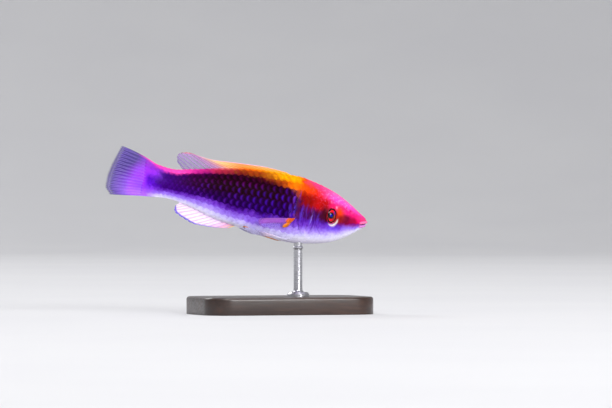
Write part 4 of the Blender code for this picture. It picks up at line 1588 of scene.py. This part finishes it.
def steelMaterial():
    made, tree, shader = newMaterial("brushedSteel", {"Metallic": 1.0})
    lines = noise(stretched(tree, (0.05, 0.05, 1.0)), 16000.0)
    plug(shader["Base Color"], ramp(lines, [(0.3, "steelLow"), (0.7, "steelHigh")]))
    plug(shader["Roughness"], ease(lines, 0.3, 0.7, 0.2, 0.36))
    plug(shader["Normal"], bump(lines, 0.004 * mm, 0.15))
    return made


makeBase()
makeRod()
print("stand made")


# Stage, light and camera

stageForm = {"floor": 1.5, "curve": 1.3, "wall": 2.6, "curveSteps": 16, "steps": 96}


def paperMaterial():
    made, tree, shader = newMaterial("paper", {"Roughness": 0.9})
    cloud = noise(objectPlace(tree), 9.0)
    plug(shader["Base Color"], ramp(cloud, [(0.35, "paperShade"), (0.65, "paper")]))
    return made


def makeStage():
    # a round sweep of pale paper: a floor that turns up into a wall on every side
    flat, bend, steps = stageForm["floor"], stageForm["curve"], stageForm["curveSteps"]
    profile = [(0, 0), (flat, 0)]
    for k in range(1, steps + 1):
        turn = k / steps * math.pi / 2
        profile.append((flat + bend * math.sin(turn), bend * (1 - math.cos(turn))))
    profile.append((flat + bend, stageForm["wall"]))
    mesh = turnedMesh("paperSweep", profile, stageForm["steps"])
    mesh.materials.append(paperMaterial())
    mesh.shade_smooth()
    sweep = bpy.data.objects.new("paperSweep", mesh)
    bpy.context.scene.collection.objects.link(sweep)


lightForm = {
    # place, size, watts and how wide it shines in degrees, all aimed at the fish
    "lamps": {
        "keyLight": ((-0.5, -1.4, 1.5), 0.9, 19.0, 180),
        "topLight": ((0.25, 0.2, 2.0), 1.1, 13.0, 180),
        "fillLight": ((0.3, -1.35, 0.5), 0.6, 1.6, 60),
        "rearLight": ((-0.7, 1.5, 1.3), 0.9, 12.0, 180),
    },
    "aim": (0.0, 0.0, 0.03),
    "world": 0.5,
}


def makeLights():
    for name, (place, size, watts, spread) in lightForm["lamps"].items():
        lamp = bpy.data.lights.new(name, "AREA")
        lamp.shape, lamp.size, lamp.energy, lamp.spread = "DISK", size, watts, math.radians(spread)
        light = bpy.data.objects.new(name, lamp)
        light.location = place
        light.visible_camera = False
        aim = Vector(lightForm["aim"]) - Vector(place)
        light.rotation_euler = aim.to_track_quat("-Z", "Y").to_euler()
        bpy.context.scene.collection.objects.link(light)
    world = bpy.data.worlds.new("softRoom")
    world.use_nodes = True
    background = world.node_tree.nodes["Background"].inputs
    background["Color"].default_value = (1, 1, 1, 1)
    background["Strength"].default_value = lightForm["world"]
    bpy.context.scene.world = world
    bpy.context.scene.view_settings.view_transform = "Standard"


cameraForm = {
    "aim": (0.00787, 0.0, 0.03127),
    "turn": math.radians(-18),  # the fish's head is turned a little away
    "away": 1.2,
    "lens": 247.7,
}


def makeCamera():
    lens = bpy.data.cameras.new("camera")
    lens.lens, lens.sensor_width = cameraForm["lens"], 36
    camera = bpy.data.objects.new("camera", lens)
    back = Vector((math.sin(cameraForm["turn"]), -math.cos(cameraForm["turn"]), 0))
    camera.location = Vector(cameraForm["aim"]) + back * cameraForm["away"]
    camera.rotation_euler = (-back).to_track_quat("-Z", "Y").to_euler()
    bpy.context.scene.collection.objects.link(camera)
    bpy.context.scene.camera = camera


makeStage()
makeLights()
makeCamera()
print("stage, light and camera set")
